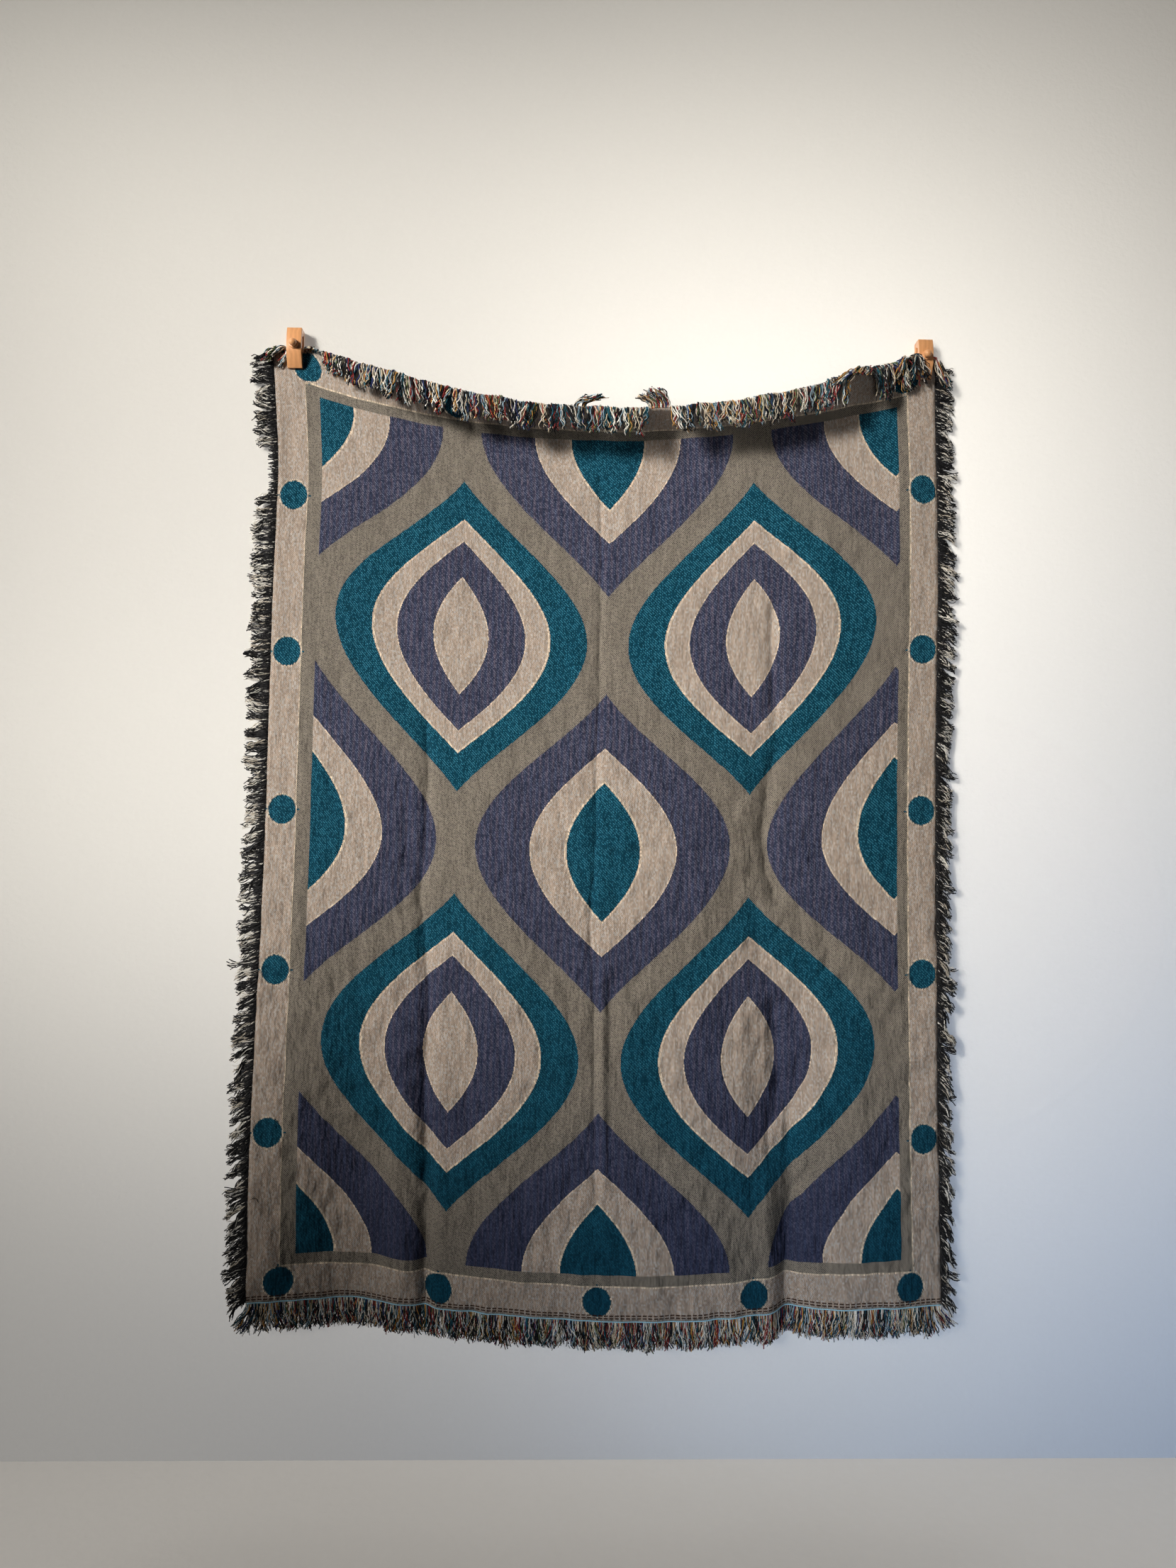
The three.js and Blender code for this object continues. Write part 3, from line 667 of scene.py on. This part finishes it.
# the top edge by x: from, to, crowding, angle it leaves at, angle it ends at, millimetres of turn,
# length, sideways lean; elsewhere the yarns follow the cloth out, turn over and hang
topStretches = [
    (-641, -616, 2.6, 66, -66, 24, 43, -0.75),
    (-616, -612.6, 2.2, 12, -84, 9, 34, -0.1),
    (-612.6, -583.4, 0, 0, 0, 1, 0, 0),
    (-583.4, -545, 0.6, 20, -10, 22, 16, 1.6),
    (-545, -484, 1.6, 62, -80, 19, 42, 0.2),
    (-71, -65, 4.0, 60, 18, 30, 42, 1.6),
    (-57, -51, 4.0, 66, 24, 30, 38, 1.5),
    (64, 104, 1.4, 86, 52, 34, 36, -1.1),
    (396, 436, 1.4, 40, -84, 20, 58, -0.1),
    (436, 482, 1.3, 48, -45, 30, 56, -1.6),
    (486, 556, 1.5, 58, -84, 24, 66, 0.1),
    (556, 583.4, 1.9, 48, -86, 36, 68, -0.08),
    (583.4, 612.6, 0, 0, 0, 1, 0, 0),
    (612.6, 622, 9.0, 54, -76, 30, 56, 0.8),
]
topFall = {
    "leave": 0.5, "rise": 3, "end": -89, "turn": 17, "leaveSpread": 9, "endSpread": 3,
    "turnSpread": (0.65, 1.35), "leanSpread": (0.5, 1.5), "leanRun": (2, 18),
}
bottomFall = {"turnRun": 0.5, "leanSpread": 0.16}
wallClear = 1.5
cornerFan = {"reach": 22, "lean": 0.7}
sideFall = {"droopRun": (0.6, 1.3), "leanRun": 0.7, "leanSpread": 6, "sway": 0.10, "rootSpread": (-0.9, 0.6)}
leftTuck = {"from": 176, "to": 268, "length": (4, 9)}
# distance down, droop below level on the left and on the right
sideDroop = [(0, 6, 22), (600, 8, 34), (1200, 22, 46), (1765, 38, 54)]
hemLine = {
    "shares": (0.002, 0.998), "stops": 320, "below": 0.96, "forward": 1.4, "radius": 1.2,
    "colour": (0.42, 0.74, 0.92),
}
# a loose thread lies on the lower left border: distance in, distance down
looseThread = {
    "path": [(6, 1580), (11, 1577), (16, 1579), (19, 1585)], "below": 0, "forward": 1.7, "radius": 0.5,
    "colour": pileColour,
}

# share of each dye
mixedYarns = [
    (0.32, (0.008, 0.008, 0.011)), (0.17, (0.68, 0.58, 0.44)), (0.14, (0.92, 0.89, 0.83)),
    (0.09, (0.010, 0.100, 0.145)), (0.09, (0.34, 0.47, 0.57)), (0.08, (0.32, 0.038, 0.036)),
    (0.05, (0.60, 0.31, 0.08)), (0.03, (0.14, 0.18, 0.07)), (0.03, (0.035, 0.050, 0.17)),
]
darkYarns = [
    (0.65, (0.005, 0.005, 0.007)), (0.09, (0.62, 0.56, 0.47)), (0.23, (0.92, 0.89, 0.83)),
    (0.03, (0.070, 0.070, 0.080)),
]


def yarnMaterial(name):
    material, tree, shader = newMaterial(
        name, Roughness=0.9, Specular_IOR_Level=0.2, Sheen_Weight=0.1, Sheen_Roughness=0.5
    )
    dye = addNode(tree, "Attribute", attribute_name="yarnColour").outputs[0]
    flat = addNode(tree, "UVMap", uv_map="yarnTwist").outputs[0]
    along, around, _ = wires(tree, addNode(tree, "SeparateXYZ", {0: flat}))
    ply = along.scaled(1 / yarn["twist"], around).do("PINGPONG", 0.5)
    # painted shade: the dye is darker in the grooves between the plies and lighter on their crests
    tree.links.new(shaded(tree, dye, ply.scaled(*yarn["plyShade"])), shader.inputs["Base Color"])
    addBump(tree, shader, ply, *yarn["plyBump"])
    return material


# all paths of one call have the same number of stops; gives points, walls, ends, dyes and uv
def yarnTubes(paths, radius, colours, reference, sides):
    count, stops = paths.shape[:2]
    tangent = unit(np.gradient(paths, axis=1))
    side = reference[:, None]
    side = unit(side - tangent * np.sum(side * tangent, -1, keepdims=True))
    other = np.cross(tangent, side)
    angle = np.arange(sides) * 2 * math.pi / sides
    ring = side[:, :, None] * np.cos(angle)[:, None] + other[:, :, None] * np.sin(angle)[:, None]
    points = paths[:, :, None] + ring * radius[:, :, None, None]
    index = np.arange(count * stops * sides).reshape(count, stops, sides)
    after = np.roll(index, -1, axis=2)
    walls = np.stack([index[:, :-1], after[:, :-1], after[:, 1:], index[:, 1:]], -1).reshape(-1, 4)
    ends = np.concatenate([index[:, 0, ::-1], index[:, -1]])
    travel = np.cumsum(np.linalg.norm(np.diff(paths, axis=1), axis=-1), axis=1)
    travel = np.concatenate([np.zeros((count, 1)), travel], 1)
    low = np.broadcast_to(travel[:, :-1, None], (count, stops - 1, sides))
    high = np.broadcast_to(travel[:, 1:, None], (count, stops - 1, sides))
    here = np.broadcast_to(np.arange(sides) / sides, low.shape)
    there = here + 1 / sides
    around = np.stack([here, there, there, here], -1)
    twist = np.stack([np.stack([low, low, high, high], -1), around], -1)
    dye = np.repeat(colours, stops * sides, axis=0)
    return points.reshape(-1, 3), walls, ends, dye, twist.reshape(-1, 2)


def addYarnPiece(name, groups, node):
    points, faces, caps, dyes, twists, capTwists = [], [], [], [], [], []
    start = 0
    for group in groups:
        tubePoints, walls, ends, dye, twist = yarnTubes(*group)
        points.append(tubePoints)
        dyes.append(dye)
        faces += (walls + start).tolist()
        caps += (ends + start).tolist()
        twists.append(twist)
        capTwists.append(np.zeros((ends.size, 2)))
        start += len(tubePoints)
    points = (np.concatenate(points) * mm).tolist()
    piece = addMesh(name, points, faces + caps, [yarnMaterial(name + "Yarn")])
    smoothWithUv(piece.data, "yarnTwist", np.concatenate(twists + capTwists))
    dyes = np.concatenate(dyes)
    colour = piece.data.color_attributes.new("yarnColour", "FLOAT_COLOR", "POINT")
    colour.data.foreach_set("color", np.concatenate([dyes, np.ones((len(dyes), 1))], 1).ravel())
    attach(piece, "root")
    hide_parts(node)
    print(name, "made,", sum(len(group[0]) for group in groups), "yarns")
    return piece


# neighbours share a dye in short runs
def pickColours(palette, count, alike):
    shares = np.array([row[0] for row in palette])
    dyes = np.array([row[1] for row in palette])
    runs = rng.geometric(1 / alike, count)
    owner = np.repeat(np.arange(count), runs)[:count]
    chosen = dyes[rng.choice(len(dyes), count, p=shares / shares.sum())[owner]]
    return chosen * rng.uniform(*yarn["dyeSpread"], (count, 1))


def yarnRadius(settings):
    taper = np.linspace(*settings["radius"], settings["stops"])
    return taper[None] * rng.uniform(*yarn["radiusSpread"], (settings["yarns"], 1))


# directions at each step become points; locks draw their yarns together towards the tips
def shapeYarns(settings, palette, root, directions, length, lockOf, along, front, reference):
    count, steps = directions.shape[:2]
    stride = directions * (length / steps)[:, None, None]
    paths = np.concatenate([np.zeros((count, 1, 3)), np.cumsum(stride, 1)], 1)
    run = np.linspace(0, 1, steps + 1)
    curl = settings["curl"] * np.minimum(length / settings["length"], 1)[:, None]
    for axis, gain in zip((along, front), yarn["waveGains"]):
        turns = rng.uniform(*settings["waves"], (count, 1))
        phase = rng.uniform(0, 2 * math.pi, (count, 1))
        wave = np.sin(2 * math.pi * turns * run + phase) - np.sin(phase)
        paths = paths + axis[:, None] * (wave * run * curl * gain)[..., None]
    paths = paths + root[:, None]
    total = np.zeros((lockOf.max() + 1, steps + 1, 3))
    np.add.at(total, lockOf, paths)
    size = np.bincount(lockOf, minlength=len(total))
    mean = total / np.maximum(size, 1)[:, None, None]
    drawn = settings["gather"] * run ** yarn["gatherPower"]
    paths = mix(paths, mean[lockOf], drawn[None, :, None])
    paths[..., 1] = np.minimum(paths[..., 1], -wallClear)
    colours = pickColours(palette, count, settings["alike"])
    return paths, yarnRadius(settings), colours, reference, yarn["sides"]


def lockOfYarns(place, size):
    spare, more = yarn["spareLocks"]
    widths = rng.uniform(*yarn["lockSpread"], int(np.ptp(place) / size * spare) + more) * size
    return np.searchsorted(np.cumsum(widths) + place.min(), place)


def evenPlaces(count):
    return ((np.arange(count) + rng.uniform(0, 1, count)) / count).clip(*yarn["edgeRange"])


def midSteps(steps):
    return (np.arange(steps) + 0.5)[None] / steps


def unevenLength(settings, lock):
    perLock = rng.normal(0, yarn["lockUneven"], lock.max() + 1)[lock]
    perYarn = rng.normal(0, yarn["yarnUneven"], len(lock))
    return settings["length"] * (1 + settings["spread"] * perLock + perYarn)


def topFringe():
    settings = fringe["top"]
    count, steps = settings["yarns"], settings["stops"] - 1
    topX = np.linspace(sideEdges[0][1], sideEdges[0][2], fineSteps)
    crowd = np.ones_like(topX)
    for first, last, crowding, *_ in topStretches:
        crowd[(topX > first) & (topX < last)] = crowding
    filled = np.cumsum(crowd) / crowd.sum()
    x = np.interp(evenPlaces(count), filled, topX)
    share = (x - topX[0]) / (topX[-1] - topX[0])
    point, right, below, front = sheetFrame(share, np.zeros(count))
    ahead = unit(np.cross(right, up))
    lock = lockOfYarns(x, settings["lock"])
    leave = np.degrees(np.arcsin(np.clip(-below[:, 2], -1, 1))) * topFall["leave"] + topFall["rise"]
    finish, turn = np.full(count, float(topFall["end"])), np.full(count, float(topFall["turn"]))
    lean, length = np.zeros(count), unevenLength(settings, lock)
    for first, last, _, leaves, ends, turns, long, leans in topStretches:
        inside = (x > first) & (x < last)
        leave[inside], finish[inside], turn[inside], lean[inside] = leaves, ends, turns, leans
        length[inside] = length[inside] / settings["length"] * long
    leave = leave + rng.normal(0, topFall["leaveSpread"], count)
    finish = finish + rng.normal(0, topFall["endSpread"], count)
    turn = turn * rng.uniform(*topFall["turnSpread"], count)
    lean = lean * rng.uniform(*topFall["leanSpread"], count)
    lean = lean + np.radians(rng.normal(0, settings["lean"], lock.max() + 1))[lock]
    travel = midSteps(steps) * length[:, None]
    angle = mix(leave[:, None], finish[:, None], smooth(travel, 0, turn[:, None]))
    angle = np.radians(angle)[..., None]
    directions = ahead[:, None] * np.cos(angle) + up * np.sin(angle)
    sideways = (lean[:, None] * smooth(travel, *topFall["leanRun"]))[..., None]
    directions = unit(directions + right[:, None] * sideways)
    root = point + front * rng.uniform(*yarn["rootSpread"], (count, 1)) - below * yarn["rootStep"]
    return shapeYarns(settings, mixedYarns, root, directions, length, lock, right, ahead, right)


def bottomFringe():
    settings = fringe["bottom"]
    count, steps = settings["yarns"], settings["stops"] - 1
    share = evenPlaces(count)
    point, right, below, front = sheetFrame(share, np.full(count, float(hang["length"])))
    ahead = unit(np.cross(right, up))
    lock = lockOfYarns(point[:, 0], settings["lock"])
    length = unevenLength(settings, lock)
    lean = np.radians(rng.normal(0, settings["lean"], lock.max() + 1))[lock]
    lean = lean + rng.normal(0, bottomFall["leanSpread"], count)
    for corner, sign in ((0, -1), (1, 1)):
        lean += sign * cornerFan["lean"] * bell((share - corner) * hang["width"] / cornerFan["reach"])
    turned = smooth(midSteps(steps), 0, bottomFall["turnRun"])
    directions = mix(below[:, None], -up[None, None], turned[..., None])
    directions = unit(directions + right[:, None] * (lean[:, None] * turned)[..., None])
    root = point + front * rng.uniform(*yarn["rootSpread"], (count, 1)) + below * yarn["rootStep"]
    return shapeYarns(settings, mixedYarns, root, directions, length, lock, right, ahead, right)


# places down a side's edge, points and front there, the way out and the droop in degrees
def sideRoots(key, count):
    edgeShare, column = (0.0, 1) if key == "left" else (1.0, 2)
    down = evenPlaces(count) * hang["length"]
    point, _, _, front = sheetFrame(np.full(count, edgeShare), down)
    outward = np.array([2 * edgeShare - 1, 0.0, 0.0])
    return down, point, front, outward, tableCurve(sideDroop, column, down)


def sideFringe(key):
    settings = fringe[key]
    count, steps = settings["yarns"], settings["stops"] - 1
    down, point, front, outward, droop = sideRoots(key, count)
    lock = lockOfYarns(down, settings["lock"])
    locks = lock.max() + 1
    lean = rng.normal(0, settings["lean"], locks)[lock] + rng.normal(0, sideFall["leanSpread"], count)
    length = unevenLength(settings, lock)
    if key == "left":
        tucked = (down > leftTuck["from"]) & (down < leftTuck["to"])
        length = np.where(tucked, rng.uniform(*leftTuck["length"], count), length)
    run = midSteps(steps)
    angle = droop[:, None] * mix(*sideFall["droopRun"], run)
    angle = np.radians(angle + lean[:, None] * smooth(run, 0, sideFall["leanRun"]))[..., None]
    sway = rng.normal(0, sideFall["sway"], (locks, 1))[lock][:, None] * np.array([0.0, 1.0, 0.0])
    directions = unit(outward * np.cos(angle) - up * np.sin(angle) + sway)
    root = point + front * rng.uniform(*sideFall["rootSpread"], (count, 1)) + outward * yarn["rootStep"]
    along = np.broadcast_to(up, root.shape)
    return shapeYarns(settings, darkYarns, root, directions, length, lock, along, front, front)


# short dark yarns stand close together over a side's roots
def sidePile(key):
    count = rootPile["yarns"]
    _, point, front, outward, droop = sideRoots(key, count)
    length = rng.uniform(*rootPile["length"], count)
    run = np.linspace(0, 1, rootPile["stops"])[None, :, None]
    droop = np.radians(droop + rng.normal(0, rootPile["splay"], count))[:, None]
    aim = outward * np.cos(droop) - up * np.sin(droop)
    aim = aim + front * rng.uniform(*rootPile["forward"], (count, 1))
    root = point + front * rng.uniform(*rootPile["rootSpread"], (count, 1)) - outward * rootPile["rootStep"]
    paths = root[:, None] + aim[:, None] * run * length[:, None, None]
    dark = np.array(pileColour) * rng.uniform(*rootPile["dyeSpread"], (count, 1))
    return paths, yarnRadius(rootPile), dark, front, yarn["sides"]


def threadOnCloth(share, down, settings):
    point, _, downward, front = sheetFrame(share, down)
    path = point + downward * settings["below"] + front * settings["forward"]
    radius = np.full((1, len(path)), settings["radius"])
    reference = front.mean(0, keepdims=True)
    return path[None], radius, np.array([settings["colour"]]), reference, yarn["threadSides"]


hemShare = np.linspace(*hemLine["shares"], hemLine["stops"])
hemThread = threadOnCloth(hemShare, np.full(hemLine["stops"], float(hang["length"])), hemLine)
looseIn, looseDown = np.array(looseThread["path"], float).T
strayThread = threadOnCloth(looseIn / hang["width"], looseDown, looseThread)
fringePieces = [
    addYarnPiece("fringeTop", [topFringe()], "fringe_top"),
    addYarnPiece("fringeBottom", [bottomFringe(), hemThread], "fringe_bottom"),
    addYarnPiece(
        "fringeLeft", [sideFringe("left"), sidePile("left"), strayThread], "fringe_left"
    ),
    addYarnPiece("fringeRight", [sideFringe("right"), sidePile("right")], "fringe_right"),
]


# clamps, in millimetres from the wall and from their own middle; rounds are width and segments
clamp = {
    "places": {"left": (-598, -3.5), "right": (598, 3.5)}, "width": 28, "height": 73, "plate": 8,
    "plateRound": (1.6, 3), "jawRound": (2.4, 4), "roundAngle": 38, "smoothAngle": 40,
    "firstSlice": 1, "knobZ": 3.5,
}
# jaw from its lip to its top: height, back, front
jawRows = [
    (-36.5, 10.6, 17.0), (-30.1, 10.6, 20.9), (-23.9, 10.6, 24.3), (-17.7, 13.6, 27.1),
    (-11.5, 17.3, 29.3), (-6.5, 21.0, 31.0), (3.5, 21.0, 31.1), (13.5, 21.0, 31.0),
    (20.5, 21.0, 30.0), (27.5, 8.3, 28.6), (36.5, 8.3, 26.0),
]
# collar and ball of the knob and the screw behind them; starts and middle are from the wall
shank = {"radius": 2.5, "start": 8.3, "sides": 40}
collar = {"radius": 9.0, "start": 31.3, "edge": 33.7, "front": 34.3, "frontRadius": 8.4}
ball = {
    "radius": 7.2, "middle": 40.15, "neck": 4.4, "gap": 0.1,
    "steps": 11, "tip": (0.6, 0.12), "smoothAngle": 50,
}
facing = {"least": 0.9, "level": 1e-6}


def selectFacing(piece, direction):
    bpy.ops.object.select_all(action="DESELECT")
    piece.select_set(True)
    bpy.context.view_layer.objects.active = piece
    bpy.ops.object.mode_set(mode="EDIT")
    bpy.ops.mesh.select_mode(type="FACE")
    bpy.ops.mesh.select_all(action="DESELECT")
    bpy.ops.object.mode_set(mode="OBJECT")
    aim = Vector(direction)
    reach = {f.index: f.center.dot(aim) for f in piece.data.polygons if f.normal.dot(aim) > facing["least"]}
    for index, far in reach.items():
        piece.data.polygons[index].select = far > max(reach.values()) - facing["level"]
    bpy.ops.object.mode_set(mode="EDIT")


def extrude(y, z=0):
    bpy.ops.mesh.extrude_region_move(TRANSFORM_OT_translate={"value": (0, y * mm, z * mm)})


def softenEdges(piece, width, segments):
    bpy.ops.object.mode_set(mode="OBJECT")
    bevel = piece.modifiers.new("roundedEdges", "BEVEL")
    bevel.width = width * mm
    bevel.segments = segments
    bevel.limit_method = "ANGLE"
    bevel.angle_limit = math.radians(clamp["roundAngle"])
    bpy.ops.object.modifier_apply(modifier=bevel.name)
    bpy.ops.object.shade_smooth_by_angle(angle=math.radians(clamp["smoothAngle"]))


def addBlock(size, middle):
    bpy.ops.object.select_all(action="DESELECT")
    bpy.ops.mesh.primitive_cube_add(size=1, location=[value * mm for value in middle])
    block = bpy.context.object
    block.scale = [value * mm for value in size]
    bpy.ops.object.transform_apply(location=True, rotation=True, scale=True)
    return block


def addPlate():
    plate = addBlock((clamp["width"], clamp["plate"], clamp["height"]), (0, -clamp["plate"] / 2, 0))
    softenEdges(plate, *clamp["plateRound"])
    return plate


def addJaw():
    z, back, front = jawRows[0]
    middle, thick, first = (back + front) / 2, front - back, clamp["firstSlice"]
    jaw = addBlock((clamp["width"], thick, first), (0, -middle, z + first / 2))
    selectFacing(jaw, (0, 0, 1))
    lastZ = z + first
    for z, back, front in jawRows[1:]:
        newMiddle, newThick = (back + front) / 2, front - back
        extrude(-(newMiddle - middle), z - lastZ)
        centre = (0, -newMiddle * mm, z * mm)
        bpy.ops.transform.resize(value=(1, newThick / thick, 1), center_override=centre)
        middle, thick, lastZ = newMiddle, newThick, z
    softenEdges(jaw, *clamp["jawRound"])
    return jaw


def addKnob():
    start, end, knobZ = collar["start"], collar["edge"], clamp["knobZ"] * mm
    bpy.ops.object.select_all(action="DESELECT")
    bpy.ops.mesh.primitive_cylinder_add(
        vertices=shank["sides"],
        radius=collar["radius"] * mm,
        depth=(end - start) * mm,
        location=(0, -(start + end) / 2 * mm, knobZ),
        rotation=(math.pi / 2, 0, 0),
    )
    knob = bpy.context.object
    bpy.ops.object.transform_apply(location=True, rotation=True, scale=True)
    selectFacing(knob, (0, 1, 0))
    bpy.ops.mesh.inset(thickness=(collar["radius"] - shank["radius"]) * mm, depth=0)
    extrude(start - shank["start"])
    bpy.ops.object.mode_set(mode="OBJECT")
    selectFacing(knob, (0, -1, 0))
    rows = [(collar["front"], collar["frontRadius"]), (collar["front"] + ball["gap"], ball["neck"])]
    first = math.pi - math.asin(ball["neck"] / ball["radius"])
    for step in range(1, ball["steps"]):
        turn = first * (1 - step / ball["steps"])
        rows.append((ball["middle"] + ball["radius"] * math.cos(turn), ball["radius"] * math.sin(turn)))
    lastReach, lastRadius = collar["edge"], collar["radius"]
    for reach, radius in rows:
        extrude(-(reach - lastReach))
        narrow = radius / lastRadius
        bpy.ops.transform.resize(value=(narrow, 1, narrow), center_override=(0, -reach * mm, knobZ))
        lastReach, lastRadius = reach, radius
    tipShare, tipDepth = ball["tip"]
    bpy.ops.mesh.inset(thickness=lastRadius * tipShare * mm, depth=tipDepth * mm)
    bpy.ops.object.mode_set(mode="OBJECT")
    bpy.ops.object.shade_smooth_by_angle(angle=math.radians(ball["smoothAngle"]))
    return knob


# fibres and rings of the wood; its tones are place on the ramp and colour
timber = {
    "fibreScale": (320, 320, 18), "fibreDetail": 5.0, "fibreShare": 0.65,
    "fibreBump": (0.0002, 0.35), "rings": {"Scale": 38.0, "Distortion": 5.0, "Detail": 2.0},
    "ringShare": 0.35, "tones": [(0.2, (0.69, 0.325, 0.135)), (0.8, (0.83, 0.415, 0.185))],
}


def woodMaterial(name):
    material, tree, shader = newMaterial(name, Roughness=0.36, Coat_Weight=0.25, Coat_Roughness=0.22)
    place = addNode(tree, "TexCoord").outputs["Object"]
    fibre = addNoise(tree, stretched(tree, place, timber["fibreScale"]), 1.0, timber["fibreDetail"])
    rings = dict(timber["rings"], Vector=place)
    rings = addNode(tree, "TexWave", rings, wave_type="BANDS", bands_direction="X").outputs["Fac"]
    grain = Wire(tree, rings).scaled(timber["ringShare"], fibre * timber["fibreShare"])
    ramp = addNode(tree, "ValToRGB", {0: grain})
    for stop, (position, colour) in zip(ramp.color_ramp.elements, timber["tones"]):
        stop.position = position
        stop.color = rgba(colour)
    tree.links.new(ramp.outputs[0], shader.inputs["Base Color"])
    addBump(tree, shader, fibre, *timber["fibreBump"])
    return material


wood = woodMaterial("lacqueredWood")
for part, build in (("plate", addPlate), ("jaw", addJaw), ("knob", addKnob)):
    model = build()
    model.data.materials.clear()
    model.data.materials.append(wood)
    twin = model.copy()
    twin.data = model.data.copy()
    bpy.context.collection.objects.link(twin)
    for piece, (side, (x, z)) in zip((model, twin), clamp["places"].items()):
        piece.name = f"clamp{side.capitalize()}{part.capitalize()}"
        piece.data.name = piece.name
        piece.data.transform(Matrix.Translation((x * mm, 0, z * mm)))
        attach(piece, "root")
        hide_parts(f"clamp_{side}_{part}")
print("clamps made")


# plain room: pale floor, pale wall that shows only from its front, soft lamps
stage = {
    "floorZ": -2.079, "floorFront": -5.0, "floorBack": 1.5, "wallY": 0.001, "wallTop": 1.6, "halfWidth": 3.2,
}
# colour and scale of the roller's marks
paint = {"floor": ((0.62, 0.60, 0.57), 60.0), "wall": ((0.60, 0.59, 0.565), 110.0)}
roller = {"dark": 0.97, "detail": 2.0, "bump": (0.002, 0.5)}


def paintMaterial(name, colour, scale):
    material, tree, shader = newMaterial(name, Roughness=0.85, Specular_IOR_Level=0.2)
    place = addNode(tree, "TexCoord").outputs["Object"]
    marks = addNoise(tree, place, scale, roller["detail"])
    pale = layer(tree, marks, rgba([c * roller["dark"] for c in colour]), rgba(colour))
    tree.links.new(pale, shader.inputs["Base Color"])
    addBump(tree, shader, marks, *roller["bump"])
    return material, tree, shader


def addPlane(name, near, far, material):
    wide = stage["halfWidth"]
    corners = [(-wide, *near), (wide, *near), (wide, *far), (-wide, *far)]
    plane = addMesh(name, corners, [(0, 1, 2, 3)], [material])
    return plane


low, wallY = stage["floorZ"], stage["wallY"]
floorPaint, _, _ = paintMaterial("paleFloor", *paint["floor"])
floor = addPlane("floor", (stage["floorFront"], low), (stage["floorBack"], low), floorPaint)
floor.visible_diffuse = False
wallPaint, wallTree, wallShader = paintMaterial("paleWall", *paint["wall"])
backSeen = addNode(wallTree, "NewGeometry").outputs["Backfacing"]
mixShaders(wallTree, backSeen, wallShader, addNode(wallTree, "BsdfTransparent"), "Material Output")
wall = addPlane("wall", (wallY, low), (wallY, stage["wallTop"]), wallPaint)
wall.visible_shadow = False

# place, aim, width, height, spread in degrees, watts, colour
lamps = {
    "key": ((-2.95, -3.25, 0.62), (-0.28, 0.0, -0.38), 1.9, 1.9, 21, 16.0, (1.0, 0.95, 0.87)),
    "low": ((-2.3, -1.4, -0.9), (0.15, 0.0, -1.45), 1.2, 0.8, 42, 0.62, (1.0, 0.95, 0.9)),
    "window": ((-0.8, -3.0, -1.8), (0.45, 0.0, -1.8), 0.7, 0.7, 25, 0.75, (0.72, 0.84, 1.0)),
    "fill": ((0.35, -2.7, -1.35), (0.30, 0.0, -0.19), 0.8, 0.5, 13, 0.16, (1.0, 0.96, 0.9)),
    "wallLeft": ((-1.5, -2.2, -1.9), (-0.6, 0.0, -1.6), 1.4, 1.4, 110, 11, (1.0, 0.95, 0.88)),
    "sideRight": ((-0.75, -2.3, -0.35), (1.2, 0.0, -0.3), 0.9, 0.9, 56, 4.9, (1.0, 0.95, 0.88)),
    "wallTop": ((0.7, -2.2, 0.7), (0.5, 0.0, 0.3), 1.4, 0.8, 90, 6.0, (1.0, 0.95, 0.88)),
    "wallWindow": ((2.1, -1.9, -1.9), (1.0, 0.0, -1.7), 1.4, 1.4, 90, 9, (0.42, 0.62, 1.0)),
    "floorTop": ((0.0, -1.6, 2.4), (0.0, -1.4, -2.0), 3.0, 3.0, 180, 95, (1.0, 0.97, 0.93)),
    "behind": ((0.6, 2.6, 0.6), (0.0, 0.0, -0.9), 2.2, 2.2, 180, 26, (1.0, 0.98, 0.95)),
}
# the wall's and the floor's own lamps are kept off the cloth, and the side one throws its shadow
backdrops = {}
for plane in (wall, floor):
    backdrops[plane.name] = bpy.data.collections.new(plane.name + "Only")
    backdrops[plane.name].objects.link(plane)
for name, (place, aim, across, tall, spread, watts, colour) in lamps.items():
    light = bpy.data.lights.new(name, "AREA")
    light.shape = "RECTANGLE"
    light.size = across
    light.size_y = tall
    light.spread = math.radians(spread)
    light.energy = watts
    light.color = colour
    lamp = bpy.data.objects.new(name, light)
    lamp.location = place
    lamp.rotation_euler = (Vector(aim) - Vector(place)).to_track_quat("-Z", "Y").to_euler()
    lamp.visible_camera = False
    for start, plane in (("wall", "wall"), ("floor", "floor"), ("side", "wall")):
        if name.startswith(start):
            lamp.light_linking.receiver_collection = backdrops[plane]
            if start == plane:
                lamp.light_linking.blocker_collection = backdrops[plane]
    bpy.context.collection.objects.link(lamp)

# the room lights the cloth only faintly but is pale to look at
room = {"colour": (0.92, 0.95, 1.0), "light": 0.035, "look": 0.62}
world = bpy.data.worlds.new("room")
world.use_nodes = True
worldTree = world.node_tree
dim = worldTree.nodes["Background"]
pale = addNode(worldTree, "Background")
for shader, strength in ((dim, room["light"]), (pale, room["look"])):
    shader.inputs["Color"].default_value = rgba(room["colour"])
    shader.inputs["Strength"].default_value = strength
seen = addNode(worldTree, "LightPath").outputs["Is Camera Ray"]
mixShaders(worldTree, seen, dim, pale, "World Output")
bpy.context.scene.world = world
bpy.context.scene.view_settings.view_transform = "Standard"
print("room lit")
